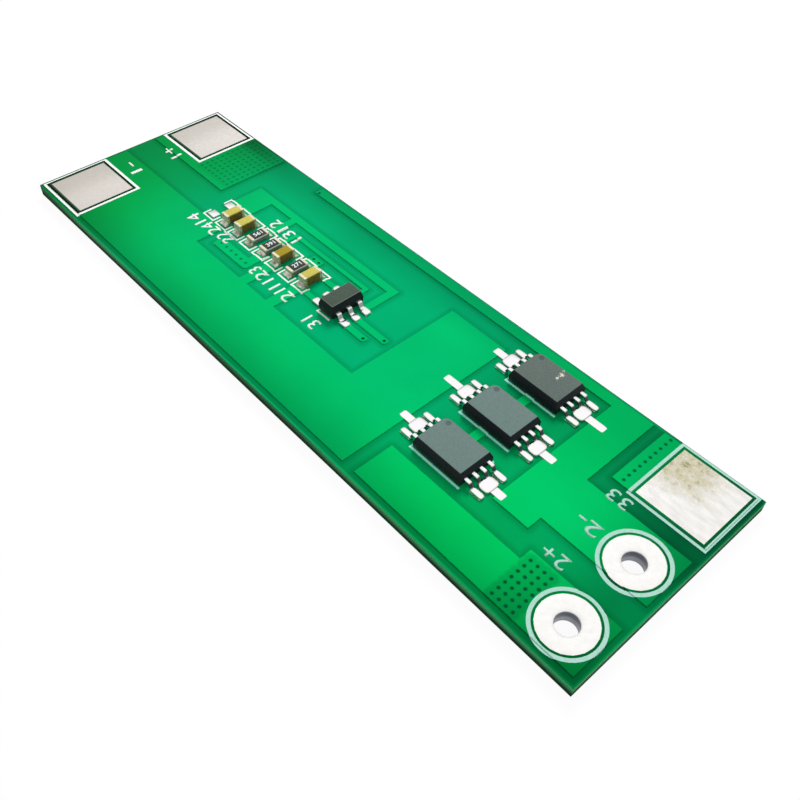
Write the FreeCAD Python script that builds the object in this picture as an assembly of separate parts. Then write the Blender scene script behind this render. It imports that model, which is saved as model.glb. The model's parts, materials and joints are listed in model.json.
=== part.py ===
import FreeCAD, Part
import math
import os

os.makedirs("parts", exist_ok=True)
V = FreeCAD.Vector

# A battery protection board: an etched and lacquered glass-epoxy plate with three power
# transistors, one controller and a row of chips soldered on its upper side.
# Places on the board are measured along X from the battery end and along Y from the near
# long edge. Every finished piece is then moved so that the part's origin is the middle of
# its underside. All sizes are in millimetres.

# Board and its layers
board_length = 57.65
board_width = 17.5
core_thickness = 0.86
copper_thickness = 0.07
mask_thickness = 0.03
tin_thickness = 0.03
ink_thickness = 0.02
end_gap = 0.3
load_end_gap = 0.45
far_edge_gap = 0.25
near_edge_gap = 0.5

# Square battery lands
square_land = 4.9
square_land_inset = 3.0
middle_land_end_inset = 3.15
minus_land_inset = 3.1
plus_land_inset = 2.98
middle_land_inset = 2.9
square_frame_gap = 0.19
square_frame_line = 0.22

# Round output lands with their plated holes
output_hole_radius = 0.75
output_land_radius = 1.82
output_inset = 2.6
output_plus_y = 2.51
barrel_wall = 0.07
ring_gap = 0.15
ring_line = 0.25

# Small plated holes, tented by the lacquer: fields and rows, and where they start
via_mouth_radius = 0.15
via_dimple_depth = 0.025
via_pitch = 0.52
via_border = 0.36
plus_field_counts = (8, 11)
plus_field_lead = 0.9
plus_field_drop = 0.42
output_field_counts = (4, 7)
output_field_lead = 3.95
output_field_rise = 0.3
middle_row_count = 10
middle_row_lead = 3.5
middle_row_rise = 0.2
sense_row_count = 6
sense_row_pitch = 0.63
sense_row_lead = 3.53
sense_row_drop = 2.45
feed_lead = 0.16
feed_pitch = 0.6
feed_rise = 1.7
gate_via_leads = (3.52, 4.67)
minus_sense_x = 15.95
minus_sense_inset = 0.85

# Flats that stand for a round in the etched and printed outlines
round_flats = 18
via_flats = 4

# Power transistors: eight-lead moulded packages in a column across the board
transistor_count = 3
transistor_last_from_far_edge = 3.0
transistor_gap = 1.41
transistor_place_in_space = 0.584
transistor_length = 4.2
transistor_width = 2.9
transistor_height = 0.95
transistor_draft = 0.2
transistor_lower_draft = 0.04
transistor_corner_cut = 0.42
transistor_lead_pitch = 0.65
transistor_lead_width = 0.25
transistor_lead_rows = 4
transistor_heel_gap = 0.48
transistor_foot_length = 0.62
transistor_land_heel = 0.08
transistor_land_toe = 0.35
transistor_land_width = 0.45
transistor_source_land_width = 1.0
transistor_paddle_length = 2.6
transistor_die_length = 1.9
transistor_die_width = 1.3
strip_width = 0.58
strip_lengths_battery_side = (1.0, 1.4, 1.0)
strip_lengths_load_side = (0.8, 0.95, 1.35)

# Controller: a six-lead moulded package at the end of the chip row
controller_x = 27.78
controller_y = 9.3
controller_length = 1.6
controller_width = 2.9
controller_height = 1.1
controller_draft = 0.16
controller_lower_draft = 0.05
controller_lead_pitch = 0.95
controller_lead_width = 0.4
controller_lead_rows = 3
controller_heel_gap = 0.24
controller_foot_length = 0.36
controller_land_heel = 0.09
controller_land_toe = 0.52
controller_land_width = 0.55
controller_paddle_length = 0.6
controller_paddle_width = 1.5
controller_die_length = 0.5
controller_die_width = 1.0

# Shared by the moulded packages
package_standoff = 0.08
lead_thickness = 0.15
lead_bend_radius = 0.05
lead_heel_run = 0.2
lead_root_depth = 0.32
tie_width = 0.25
die_thickness = 0.2
solder_gap = 0.03
joint_height = 0.12
joint_slope = 0.07

# Chip row: capacitors and resistors of one footprint, from the battery end
chip_row_x = 12.62
chip_row_y = 9.4
chip_pitch = 1.64
chip_length = 1.6
chip_width = 0.8
chip_land_length = 0.65
chip_land_reach = 1.105
capacitor_height = 0.8
capacitor_cap_length = 0.36
capacitor_cap_wall = 0.03
resistor_height = 0.45
resistor_wrap_length = 0.3
resistor_wrap_wall = 0.03
resistor_coat_thickness = 0.05
resistor_coat_gap = 0.04
chip_joint_height = 0.36
chip_joint_toe = 0.05
capacitor_places = (1, 2, 5, 7)
resistor_places = (3, 4, 6)
spare_places = (0,)

# Printed brackets
legend_line = 0.16
bracket_half_width = 0.7
bracket_near = 0.62
bracket_far = 1.4

# Tracks
supply_track = 0.6
signal_track = 0.3
stub_track = 0.4
output_track = 0.48
supply_track_rise = 3.75
sense_track_rise = 2.45
sense_track_lead = 0.28
link_width = 0.65
link_lead = 0.45
arm_width = 0.24

# Pours: how far each reaches past the land, hole or chip it serves
plus_pour_margin = 1.22
minus_pour_top = 5.6
minus_shoulder_drop = 1.45
minus_shoulder_margin = 0.4
minus_finger_half = 0.45
riser_lead = 4.15
riser_clearance = 0.66
riser_margin = 0.5
supply_margin = 0.33
supply_overlap = 0.28
supply_drop_lead = 0.14
island_margin = 0.5
island_width = 0.95
island_corner = 0.2
island_neck = (0.2, 0.6)
feed_margin = 0.27
feed_island_half = 0.42
strip_pour_width = 0.75
strip_pour_lead = 0.3
channel_lead = 3.95
channel_from_load_end = 8.15
channel_margin = 0.45
output_minus_margins = (1.7, 2.4)
middle_pour_margin = 0.15
middle_pour_lead = 0.6
output_plus_pour_lead = 3.0
output_plus_clearance = 1.13
output_plus_margin = 1.95
pour_overlap = 0.1

# Underside pours
return_top = 4.3
middle_band = 1.4
middle_drop_lead = 2.0

# Heights of the layers above the underside
underside_coat = max(mask_thickness, tin_thickness)
core_bottom = underside_coat + copper_thickness
core_top = core_bottom + core_thickness
land_top = core_top + copper_thickness
pour_top = land_top + mask_thickness
land_bottom = core_bottom - copper_thickness
pour_bottom = land_bottom - mask_thickness
seat = land_top + solder_gap


# Flat outlines on the board, raised into layers

class Bar:
    """A rectangle from one corner to the other, with its corners cut off if asked."""

    def __init__(self, x0, y0, x1, y1, corner=0.0):
        self.low = (min(x0, x1), min(y0, y1))
        self.high = (max(x0, x1), max(y0, y1))
        self.corner = corner

    def solid(self, low, high, grow=0.0):
        x0, y0 = self.low[0] - grow, self.low[1] - grow
        x1, y1 = self.high[0] + grow, self.high[1] + grow
        if not self.corner:
            return Part.makeBox(x1 - x0, y1 - y0, high - low, V(x0, y0, low))
        cut = self.corner + grow * (2 - math.sqrt(2))
        points = [V(x0 + cut, y0, low), V(x1 - cut, y0, low), V(x1, y0 + cut, low),
                  V(x1, y1 - cut, low), V(x1 - cut, y1, low), V(x0 + cut, y1, low),
                  V(x0, y1 - cut, low), V(x0, y0 + cut, low)]
        return Part.Face(Part.makePolygon(points + points[:1])).extrude(V(0, 0, high - low))


def round_points(x, y, radius, level, flats):
    """Corners of an even-sided outline of the given radius about a point."""
    turns = [2 * math.pi * k / flats for k in range(flats)]
    return [V(x + radius * math.cos(turn), y + radius * math.sin(turn), level) for turn in turns]


class Disc:
    """A round about a point, drawn with flats."""

    def __init__(self, x, y, radius):
        self.x = x
        self.y = y
        self.radius = radius

    def solid(self, low, high, grow=0.0):
        points = round_points(self.x, self.y, self.radius + grow, low, round_flats)
        return Part.Face(Part.makePolygon(points + points[:1])).extrude(V(0, 0, high - low))


def bar_about(x, y, length, width, corner=0.0):
    return Bar(x - length / 2, y - width / 2, x + length / 2, y + width / 2, corner)


def fuse(solids):
    if len(solids) == 1:
        return solids[0]
    return solids[0].multiFuse(solids[1:]).removeSplitter()


def layer(outlines, low, high, grow=0.0):
    return fuse([outline.solid(low, high, grow) for outline in outlines])


def moved(shape, x, y, z=0.0):
    copy = shape.copy()
    copy.translate(V(x, y, z))
    return copy


def mirrored(shape):
    return shape.mirror(V(0, 0, 0), V(1, 0, 0))


# Places that the outlines share
far_copper = board_width - far_edge_gap
load_copper = board_length - load_end_gap

minus_land = (square_land_inset, minus_land_inset)
plus_land = (square_land_inset, board_width - plus_land_inset)
middle_land = (board_length - middle_land_end_inset, board_width - middle_land_inset)
output_plus = (board_length - output_inset, output_plus_y)
middle_land_near_edge = middle_land[1] - square_land / 2
output_minus = (board_length - output_inset,
                (output_plus_y + output_land_radius + middle_land_near_edge) / 2)

controller_heel = controller_length / 2 + controller_heel_gap
controller_land_start = controller_heel + controller_land_heel
controller_toe = controller_heel + controller_foot_length
controller_land_end = controller_toe + controller_land_toe
transistor_heel = transistor_length / 2 + transistor_heel_gap
transistor_land_start = transistor_heel + transistor_land_heel
transistor_toe = transistor_heel + transistor_foot_length
transistor_land_end = transistor_toe + transistor_land_toe

# The transistors stand in the space between the controller's lands and the middle land
space_start = controller_x + controller_land_end
space_end = middle_land[0] - square_land / 2
transistor_x = space_start + transistor_place_in_space * (space_end - space_start)
transistor_pitch = transistor_width + transistor_gap
transistor_last_y = board_width - transistor_last_from_far_edge
transistors = [(transistor_x, transistor_last_y - transistor_pitch * k)
               for k in reversed(range(transistor_count))]
chips_x = [chip_row_x + chip_pitch * k for k in range(8)]
chip_land_offset = chip_land_reach - chip_land_length / 2
drain_row = (transistor_lead_rows - 1) / 2 * transistor_lead_pitch

# Fields and rows of tented holes
plus_field_x = plus_land[0] + square_land / 2 + plus_field_lead
plus_field_y = plus_land[1] - square_land / 2 - plus_field_drop
plus_field_end = plus_field_x + via_pitch * (plus_field_counts[0] - 1)
output_field_x = output_plus[0] - output_field_lead
output_field_y = near_edge_gap + output_field_rise
middle_row_x = middle_land[0] - middle_row_lead
middle_row_y = middle_land_near_edge + middle_row_rise
sense_row_x = chip_row_x + sense_row_lead
sense_row_y = chip_row_y - sense_row_drop
sense_row_end = sense_row_x + sense_row_pitch * (sense_row_count - 1)
feed_vias = [(chips_x[6] - feed_lead, chip_row_y + feed_rise),
             (chips_x[6] - feed_lead + feed_pitch, chip_row_y + feed_rise)]
gate_track_ends = [(controller_x + gate_via_leads[0], controller_y - controller_lead_pitch),
                   (controller_x + gate_via_leads[1], controller_y)]
minus_sense_via = (minus_sense_x, board_width - minus_sense_inset)


def grid(x, y, columns, rows, pitch_x, pitch_y):
    return [(x + pitch_x * i, y + pitch_y * j) for i in range(columns) for j in range(rows)]


vias = grid(plus_field_x, plus_field_y, *plus_field_counts, via_pitch, via_pitch)
vias += grid(output_field_x, output_field_y, *output_field_counts, via_pitch, via_pitch)
vias += grid(middle_row_x, middle_row_y, 1, middle_row_count, via_pitch, via_pitch)
vias += grid(sense_row_x, sense_row_y, sense_row_count, 1, sense_row_pitch, via_pitch)
vias += feed_vias + gate_track_ends + [minus_sense_via]


# Copper outlines of the upper side, apart from the lands

plus_pour = [Bar(end_gap, plus_land[1] - square_land / 2 - plus_pour_margin,
                 plus_field_end + via_border, far_copper)]

riser_load_edge = transistor_x - riser_lead
minus_shoulder = (chips_x[1] + minus_shoulder_margin, chip_row_y - minus_shoulder_drop)
minus_pour = [
    Bar(end_gap, near_edge_gap, *minus_shoulder),
    Bar(end_gap, near_edge_gap, riser_load_edge, minus_pour_top),
    Bar(gate_track_ends[1][0] + output_track / 2 + riser_clearance, near_edge_gap,
        riser_load_edge, transistor_last_y + riser_margin)]
for place in capacitor_places[-2:]:
    minus_pour.append(Bar(chips_x[place] - minus_finger_half, minus_pour_top - pour_overlap,
                          chips_x[place] + minus_finger_half, chip_row_y - chip_land_offset))

supply_y = chip_row_y + supply_track_rise
supply_end_x = controller_x + controller_land_start + supply_drop_lead
supply_pour = [
    Bar(chips_x[0] - supply_margin, chip_row_y + chip_land_offset - supply_overlap,
        chips_x[1] + supply_margin, supply_y + supply_track / 2),
    Bar(chips_x[0], supply_y - supply_track / 2,
        supply_end_x + supply_track / 2, supply_y + supply_track / 2),
    Bar(supply_end_x - supply_track / 2, controller_y + controller_lead_pitch,
        supply_end_x + supply_track / 2, supply_y),
    Bar(chips_x[3] - supply_track / 2, chip_row_y + chip_land_offset,
        chips_x[3] + supply_track / 2, supply_y)]

sense_y = chip_row_y + sense_track_rise
sense_turn_x = controller_x - sense_track_lead
sense_track = [
    Bar(chips_x[4] - signal_track / 2, sense_y - signal_track / 2,
        sense_turn_x + signal_track / 2, sense_y + signal_track / 2),
    Bar(chips_x[4] - signal_track / 2, chip_row_y + chip_land_offset,
        chips_x[4] + signal_track / 2, sense_y),
    Bar(sense_turn_x - signal_track / 2, controller_y - signal_track / 2,
        sense_turn_x + signal_track / 2, sense_y),
    Bar(controller_x - controller_land_start, controller_y - signal_track / 2,
        sense_turn_x, controller_y + signal_track / 2)]

stubs = []
for side in (-1, 1):
    stub_y = controller_y + side * controller_lead_pitch
    stubs.append(Bar(chips_x[7], stub_y - stub_track / 2,
                     controller_x - controller_land_start, stub_y + stub_track / 2))

sense_island = [
    bar_about((sense_row_x + sense_row_end) / 2, sense_row_y,
              sense_row_end - sense_row_x + 2 * island_margin, island_width, island_corner),
    Bar(chips_x[4] - island_neck[0], sense_row_y,
        chips_x[4] + island_neck[1], chip_row_y - chip_land_offset)]
feed_island = [Bar(chips_x[6] - feed_island_half, chip_row_y + chip_land_offset,
                   feed_vias[1][0] + feed_margin, feed_vias[1][1] + feed_margin)]

corner_share = 1 - math.sqrt(0.5)
gate_tracks = []
for via_x, via_y in gate_track_ends:
    gate_tracks.append(Bar(controller_x + controller_land_start, via_y - output_track / 2,
                           via_x + output_track / 2, via_y + output_track / 2,
                           output_track * corner_share))

channel_x = transistor_x + channel_lead
channel_end_x = board_length - channel_from_load_end
output_minus_pour = [
    Bar(minus_sense_via[0] - strip_pour_lead, far_copper - strip_pour_width,
        channel_end_x, far_copper),
    Bar(channel_x, transistors[0][1] - channel_margin, channel_end_x, far_copper),
    Bar(channel_end_x - pour_overlap, output_minus[1] - output_minus_margins[0],
        load_copper, output_minus[1] + output_minus_margins[1])]
middle_low_y = middle_land_near_edge - middle_pour_margin
middle_pour = [Bar(middle_row_x - middle_pour_lead, middle_low_y, load_copper, far_copper)]
field_left = output_field_x - via_border
first_lands_y = transistors[0][1] - drain_row - transistor_land_width / 2
output_plus_pour = [
    Bar(transistor_x - output_plus_pour_lead, near_edge_gap,
        field_left, first_lands_y - output_plus_clearance),
    Bar(field_left - pour_overlap, near_edge_gap,
        load_copper, output_plus[1] + output_plus_margin)]

link_x = transistor_x - link_lead
drain_link = [Bar(link_x, transistors[0][1], link_x + link_width,
                  transistors[-1][1] + drain_row)]
for x, y in transistors:
    drain_link.append(bar_about(x, y + drain_row, 2 * transistor_land_start, arm_width))

top_pours = (plus_pour + minus_pour + supply_pour + sense_track + stubs + sense_island
             + feed_island + gate_tracks + output_minus_pour + middle_pour + output_plus_pour
             + drain_link)


# Lands: copper that the lacquer leaves bare

square_lands = [bar_about(*place, square_land, square_land)
                for place in (minus_land, plus_land, middle_land)]
output_lands = [Disc(*place, output_land_radius) for place in (output_plus, output_minus)]


def chip_lands(place):
    return [bar_about(chips_x[place], chip_row_y + side * chip_land_offset,
                      chip_width, chip_land_length) for side in (-1, 1)]


def package_lands(x, y, rows, pitch, start, end, width):
    """Two columns of lands, one for each lead row, in the order of the leads."""
    places = [y + (row - (rows - 1) / 2) * pitch for row in range(rows)]
    return [Bar(x + side * start, place - width / 2, x + side * end, place + width / 2)
            for side in (-1, 1) for place in places]


controller_lands = package_lands(controller_x, controller_y, controller_lead_rows,
                                 controller_lead_pitch, controller_land_start,
                                 controller_land_end, controller_land_width)


def transistor_outer_lands(x, y):
    return package_lands(x, y, 2, 2 * drain_row, transistor_land_start,
                         transistor_land_end, transistor_land_width)


def source_lands(x, y):
    return package_lands(x, y, 1, 0.0, transistor_land_start,
                         transistor_land_end, transistor_source_land_width)


def strips(index):
    """The two bare strips that widen the source lands' way into the pours."""
    x, y = transistors[index]
    lengths = (strip_lengths_battery_side[index], strip_lengths_load_side[index])
    return [Bar(x + side * transistor_land_end, y - strip_width / 2,
                x + side * (transistor_land_end + length), y + strip_width / 2)
            for side, length in zip((-1, 1), lengths)]


all_chip_lands = []
for place in range(len(chips_x)):
    all_chip_lands += chip_lands(place)
package_land_list = list(controller_lands)
for index, (x, y) in enumerate(transistors):
    package_land_list += transistor_outer_lands(x, y) + source_lands(x, y) + strips(index)
top_lands = square_lands + output_lands + all_chip_lands + package_land_list


# Copper outlines of the underside: the return from the battery's plus land, the middle
# land's way to the chips, the two gate tracks and the output sense track

gate_column_offset = transistor_land_start + signal_track / 2
gate_columns = [transistor_x - gate_column_offset, transistor_x + gate_column_offset]
gate_rows = [y - drain_row for _, y in transistors]
middle_drop_x = feed_vias[1][0] + middle_drop_lead
half_track = signal_track / 2

bottom_pours = [
    Bar(plus_field_x - via_border, near_edge_gap,
        plus_field_end + via_border, far_copper),
    Bar(plus_field_x - via_border, near_edge_gap, load_copper, return_top),
    Bar(middle_row_x - via_border, middle_low_y, middle_row_x + via_border, far_copper),
    Bar(middle_drop_x, far_copper - middle_band, middle_row_x + via_border, far_copper),
    Bar(middle_drop_x, sense_row_y - island_width / 2, middle_drop_x + middle_band, far_copper),
    Bar(sense_row_x - island_margin, sense_row_y - island_width / 2,
        middle_drop_x + middle_band, sense_row_y + island_width / 2),
    Bar(minus_sense_via[0] - half_track, minus_sense_via[1] - half_track,
        feed_vias[0][0] + half_track, minus_sense_via[1] + half_track),
    Bar(feed_vias[0][0] - half_track, feed_vias[0][1] - half_track,
        feed_vias[0][0] + half_track, minus_sense_via[1] + half_track)]
for column, (via_x, via_y) in zip(gate_columns, reversed(gate_track_ends)):
    bottom_pours.append(Bar(via_x - half_track, via_y - half_track,
                            column + half_track, via_y + half_track))
    bottom_pours.append(Bar(column - half_track, gate_rows[0] - half_track,
                            column + half_track, gate_rows[-1] + half_track))


# Board layers

def board_slab(low, high):
    return Part.makeBox(board_length, board_width, high - low, V(0, 0, low))


def hole_pins(radius, low, high):
    return fuse([Disc(*place, radius).solid(low, high) for place in (output_plus, output_minus)])


drill_radius = output_hole_radius + barrel_wall


def laminate():
    return board_slab(core_bottom, core_top).cut(hole_pins(drill_radius, 0, core_top + 1))


def copper_layer(pours, lands, low, high):
    return layer(pours + lands, low, high).cut(hole_pins(drill_radius, low, high))


def tented_dimple(x, y):
    """A shallow funnel where the lacquer sags into a small plated hole."""
    mouth = round_points(x, y, via_mouth_radius, pour_top, via_flats)
    deepest = V(x, y, pour_top - via_dimple_depth)
    faces = [Part.Face(Part.makePolygon(mouth + mouth[:1]))]
    for here, there in zip(mouth, mouth[1:] + mouth[:1]):
        faces.append(Part.Face(Part.makePolygon([here, there, deepest, here])))
    return Part.Solid(Part.Shell(faces))


def top_mask(copper):
    """An even coat that steps up over the copper and leaves the lands bare."""
    coat = board_slab(core_top, core_top + mask_thickness)
    raised = layer(top_pours, core_top, pour_top, mask_thickness)
    coat = coat.fuse(raised).cut(copper)
    coat = coat.cut(layer(top_lands, core_top, pour_top)).removeSplitter()
    return coat.cut([tented_dimple(x, y) for x, y in vias])


def bottom_mask(copper):
    coat = board_slab(core_bottom - mask_thickness, core_bottom)
    raised = layer(bottom_pours, pour_bottom, core_bottom, mask_thickness)
    coat = coat.fuse(raised).cut(copper)
    return coat.cut(layer(output_lands, pour_bottom, core_bottom)).removeSplitter()


def output_tinning(place):
    """Solder over both sides of a round land, joined by the plated wall of its hole."""
    low = land_bottom - tin_thickness
    high = land_top + tin_thickness
    land = Disc(*place, output_land_radius)
    rings = [land.solid(low, land_bottom), land.solid(land_top, high)]
    barrel = Disc(*place, drill_radius).solid(low, high)
    bore = Part.makeCylinder(output_hole_radius, high - low, V(*place, low))
    return fuse(rings + [barrel]).cut(bore)


# Printed legend

def frame_bars(x, y, half, line):
    return [Bar(x - half, y - half, x + half, y - half + line),
            Bar(x - half, y + half - line, x + half, y + half),
            Bar(x - half, y - half, x - half + line, y + half),
            Bar(x + half - line, y - half, x + half, y + half)]


def bracket(x, y, side, half, depth, line):
    """A line across with two ends that turn back towards the middle."""
    inner = y - side * depth
    return [Bar(x - half, y, x + half, y - side * line),
            Bar(x - half, y, x - half + line, inner),
            Bar(x + half - line, y, x + half, inner)]


def legend():
    outlines = []
    half = square_land / 2 + square_frame_gap + square_frame_line
    for place in (minus_land, plus_land, middle_land):
        outlines += frame_bars(*place, half, square_frame_line)
    for x in chips_x:
        for side in (-1, 1):
            outlines += bracket(x, chip_row_y + side * bracket_far, side,
                                bracket_half_width, bracket_far - bracket_near, legend_line)
    low = core_top + mask_thickness
    high = pour_top + ink_thickness
    inner = output_land_radius + ring_gap
    rings = [Disc(*place, inner + ring_line) for place in (output_plus, output_minus)]
    holes = [Disc(*place, inner) for place in (output_plus, output_minus)]
    print_field = layer(outlines, low, high).fuse(layer(rings, low, high)
                                                  .cut(layer(holes, low, high)))
    draped = board_slab(low, low + ink_thickness)
    draped = draped.fuse(layer(top_pours, low, high, mask_thickness + ink_thickness))
    draped = draped.cut(layer(top_pours, low, pour_top, mask_thickness))
    return print_field.common(draped).removeSplitter()


# Moulded packages

def direction(start, end):
    return (end - start).normalize()


def ribbon(path, thickness, bend_radius):
    """Section of a strip of even thickness, folded at every inner point of its centre line.

    A flat takes off the outer corner of each fold, and the inner corner is sharp.
    """
    points = [V(x, 0, z) for x, z in path]
    sides = []
    for side in (1, -1):
        def edge_point(point, along):
            return point + V(-along.z, 0, along.x) * (side * thickness / 2)

        edge = [edge_point(points[0], direction(points[0], points[1]))]
        for before, corner, after in zip(points, points[1:], points[2:]):
            along, onward = direction(before, corner), direction(corner, after)
            slant = math.tan(along.getAngle(onward) / 2)
            inward = along.cross(onward).y * side < 0
            if inward:
                edge.append(edge_point(corner - along * (slant * thickness / 2), along))
            else:
                setback = slant * (bend_radius + thickness / 2)
                edge.append(edge_point(corner - along * setback, along))
                edge.append(edge_point(corner + onward * setback, onward))
        edge.append(edge_point(points[-1], direction(points[-2], points[-1])))
        sides.append(edge)
    outline = sides[0] + sides[1][::-1]
    return Part.Face(Part.makePolygon(outline + outline[:1]))


def gull_lead(body_half, heel, toe, exit_level, width):
    """A lead that leaves the body level, drops to the board and ends in a flat foot."""
    foot_level = seat + lead_thickness / 2
    path = [(body_half - lead_root_depth, exit_level), (heel - lead_heel_run, exit_level),
            (heel, foot_level), (toe, foot_level)]
    section = ribbon(path, lead_thickness, lead_bend_radius)
    return moved(section.extrude(V(0, width, 0)), 0, -width / 2)


def moulded_body(length, width, height, draft, lower_draft, corner_cut):
    """Both halves taper away from the parting line, and one corner may be cut off."""
    levels = [(seat + package_standoff, lower_draft, corner_cut / 3),
              (seat + package_standoff + height / 2, 0.0, corner_cut / 3),
              (seat + package_standoff + height, draft, corner_cut)]
    rings = []
    for level, inset, cut in levels:
        x, y = length / 2 - inset, width / 2 - inset
        corners = [(-x, -y), (x, -y), (x, y)]
        corners += [(-x + cut, y), (-x, y - cut)] if cut else [(-x, y)]
        points = [V(px, py, level) for px, py in corners]
        rings.append(Part.makePolygon(points + points[:1]))
    return Part.makeLoft(rings, True, True)


def lead_rows(lead, rows, pitch):
    """Both columns of leads, keyed by side and row."""
    leads = {}
    for row in range(rows):
        y = (row - (rows - 1) / 2) * pitch
        leads[1, row] = moved(lead, 0, y)
        leads[-1, row] = moved(mirrored(lead), 0, y)
    return leads


def plate(outline, level):
    return outline.solid(level - lead_thickness / 2, level + lead_thickness / 2)


def die_on(paddle_level, length, width):
    low = paddle_level + lead_thickness / 2
    return bar_about(0, 0, length, width).solid(low, low + die_thickness)


def transistor_pieces():
    """Body, leadframe and die of one power transistor, about its own middle."""
    exit_level = seat + package_standoff + (transistor_height - lead_thickness) / 2
    body_half = transistor_length / 2
    lead = gull_lead(body_half, transistor_heel, transistor_toe, exit_level,
                     transistor_lead_width)
    leads = lead_rows(lead, transistor_lead_rows, transistor_lead_pitch)
    root = body_half - lead_root_depth
    last = transistor_lead_rows - 1
    arm_near = drain_row - transistor_lead_width / 2
    arm_far = drain_row + transistor_lead_width / 2
    drain = fuse([leads[-1, last], leads[1, last],
                  plate(Bar(-root, arm_near, root, arm_far), exit_level),
                  plate(Bar(-transistor_paddle_length / 2, -transistor_die_width / 2,
                            transistor_paddle_length / 2, arm_near), exit_level)])
    pieces = [drain, leads[-1, 0], leads[1, 0]]
    source_half = transistor_lead_pitch / 2 + transistor_lead_width / 2
    for side in (-1, 1):
        tie = plate(Bar(side * root, -source_half, side * (root - tie_width), source_half),
                    exit_level)
        pieces.append(fuse([leads[side, 1], leads[side, 2], tie]))
    frame = Part.makeCompound(pieces)
    die = die_on(exit_level, transistor_die_length, transistor_die_width)
    body = moulded_body(transistor_length, transistor_width, transistor_height,
                        transistor_draft, transistor_lower_draft, transistor_corner_cut)
    return body.cut([die] + pieces), frame, die


def controller_pieces():
    """Body, leadframe and die of the controller, about its own middle."""
    exit_level = seat + package_standoff + (controller_height - lead_thickness) / 2
    body_half = controller_length / 2
    lead = gull_lead(body_half, controller_heel, controller_toe, exit_level,
                     controller_lead_width)
    leads = lead_rows(lead, controller_lead_rows, controller_lead_pitch)
    middle = controller_lead_rows // 2
    root = body_half - lead_root_depth
    paddle = plate(bar_about(0, 0, controller_paddle_length, controller_paddle_width), exit_level)
    ground = fuse([leads.pop((-1, middle)), paddle,
                   plate(Bar(-root, -controller_lead_width / 2, 0, controller_lead_width / 2),
                         exit_level)])
    pieces = [ground] + list(leads.values())
    frame = Part.makeCompound(pieces)
    die = die_on(exit_level, controller_die_length, controller_die_width)
    body = moulded_body(controller_length, controller_width, controller_height,
                        controller_draft, controller_lower_draft, 0.0)
    return body.cut([die] + pieces), frame, die


# Solder

def mound(outline, height, slope):
    """A low heap of solder on a land, narrower at its top."""
    low, high = land_top, land_top + height
    rings = []
    for level, inset in ((low, 0.0), (high, slope)):
        x0, y0 = outline.low[0] + inset, outline.low[1] + inset
        x1, y1 = outline.high[0] - inset, outline.high[1] - inset
        points = [V(x0, y0, level), V(x1, y0, level), V(x1, y1, level), V(x0, y1, level)]
        rings.append(Part.makePolygon(points + points[:1]))
    return Part.makeLoft(rings, True, True)


def transistor_solder(index, frame):
    """Single joints on the outer lands, wide joints with their strips on the source lands."""
    x, y = transistors[index]
    heaps = [mound(land, joint_height, joint_slope) for land in transistor_outer_lands(x, y)]
    for land, strip in zip(source_lands(x, y), strips(index)):
        coat = strip.solid(land_top, land_top + tin_thickness)
        heaps.append(fuse([mound(land, joint_height, joint_slope), coat]))
    return Part.makeCompound([heap.cut(frame) for heap in heaps])


def controller_solder(frame):
    heaps = [mound(land, joint_height, joint_slope) for land in controller_lands]
    return Part.makeCompound([heap.cut(frame) for heap in heaps])


def chip_joint():
    """Section of the joint at a chip's far end: a thin bed and a sloping fillet."""
    near = chip_land_reach - chip_land_length
    end = chip_length / 2
    toe = land_top + chip_joint_toe
    crest = seat + chip_joint_height
    points = [V(0, end, crest), V(0, end, seat), V(0, near, seat), V(0, near, land_top),
              V(0, chip_land_reach, land_top), V(0, chip_land_reach, toe)]
    face = Part.Face(Part.makePolygon(points + points[:1]))
    return moved(face.extrude(V(chip_width, 0, 0)), -chip_width / 2, 0)


def chip_solder():
    far_joint = chip_joint()
    near_joint = far_joint.mirror(V(0, 0, 0), V(0, 1, 0))
    places = sorted(capacitor_places + resistor_places)
    return Part.makeCompound([moved(joint, chips_x[place], chip_row_y)
                              for place in places for joint in (far_joint, near_joint)])


# Chips, each along Y about its own middle

def capacitor_pieces():
    """A ceramic block in two metal end caps that stand a little proud of it."""
    wall = capacitor_cap_wall
    body = bar_about(0, 0, chip_width - 2 * wall, chip_length - 2 * wall)
    body = body.solid(seat + wall, seat + capacitor_height - wall)
    caps = []
    for side in (-1, 1):
        cap = Bar(-chip_width / 2, side * (chip_length / 2 - capacitor_cap_length),
                  chip_width / 2, side * chip_length / 2)
        caps.append(cap.solid(seat, seat + capacitor_height).cut(body))
    return body, Part.makeCompound(caps)


def resistor_pieces():
    """A ceramic plate with a printed coat between two metal wraps."""
    wall = resistor_wrap_wall
    plate_top = seat + resistor_height - wall
    substrate = bar_about(0, 0, chip_width, chip_length - 2 * wall).solid(seat + wall, plate_top)
    wraps = []
    for side in (-1, 1):
        wrap = Bar(-chip_width / 2, side * (chip_length / 2 - resistor_wrap_length),
                   chip_width / 2, side * chip_length / 2)
        wraps.append(wrap.solid(seat, seat + resistor_height).cut(substrate))
    coat_length = chip_length - 2 * (resistor_wrap_length + resistor_coat_gap)
    coat = bar_about(0, 0, chip_width, coat_length)
    coat = coat.solid(plate_top, plate_top + resistor_coat_thickness)
    return substrate, coat, Part.makeCompound(wraps)


# All pieces by name

pieces = {}
upper_copper = copper_layer(top_pours, top_lands, core_top, land_top)
lower_copper = copper_layer(bottom_pours, output_lands, land_bottom, core_bottom)
pieces["laminate"] = laminate()
pieces["top_copper"] = upper_copper
pieces["bottom_copper"] = lower_copper
pieces["top_mask"] = top_mask(upper_copper)
pieces["bottom_mask"] = bottom_mask(lower_copper)
pieces["legend"] = legend()

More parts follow.
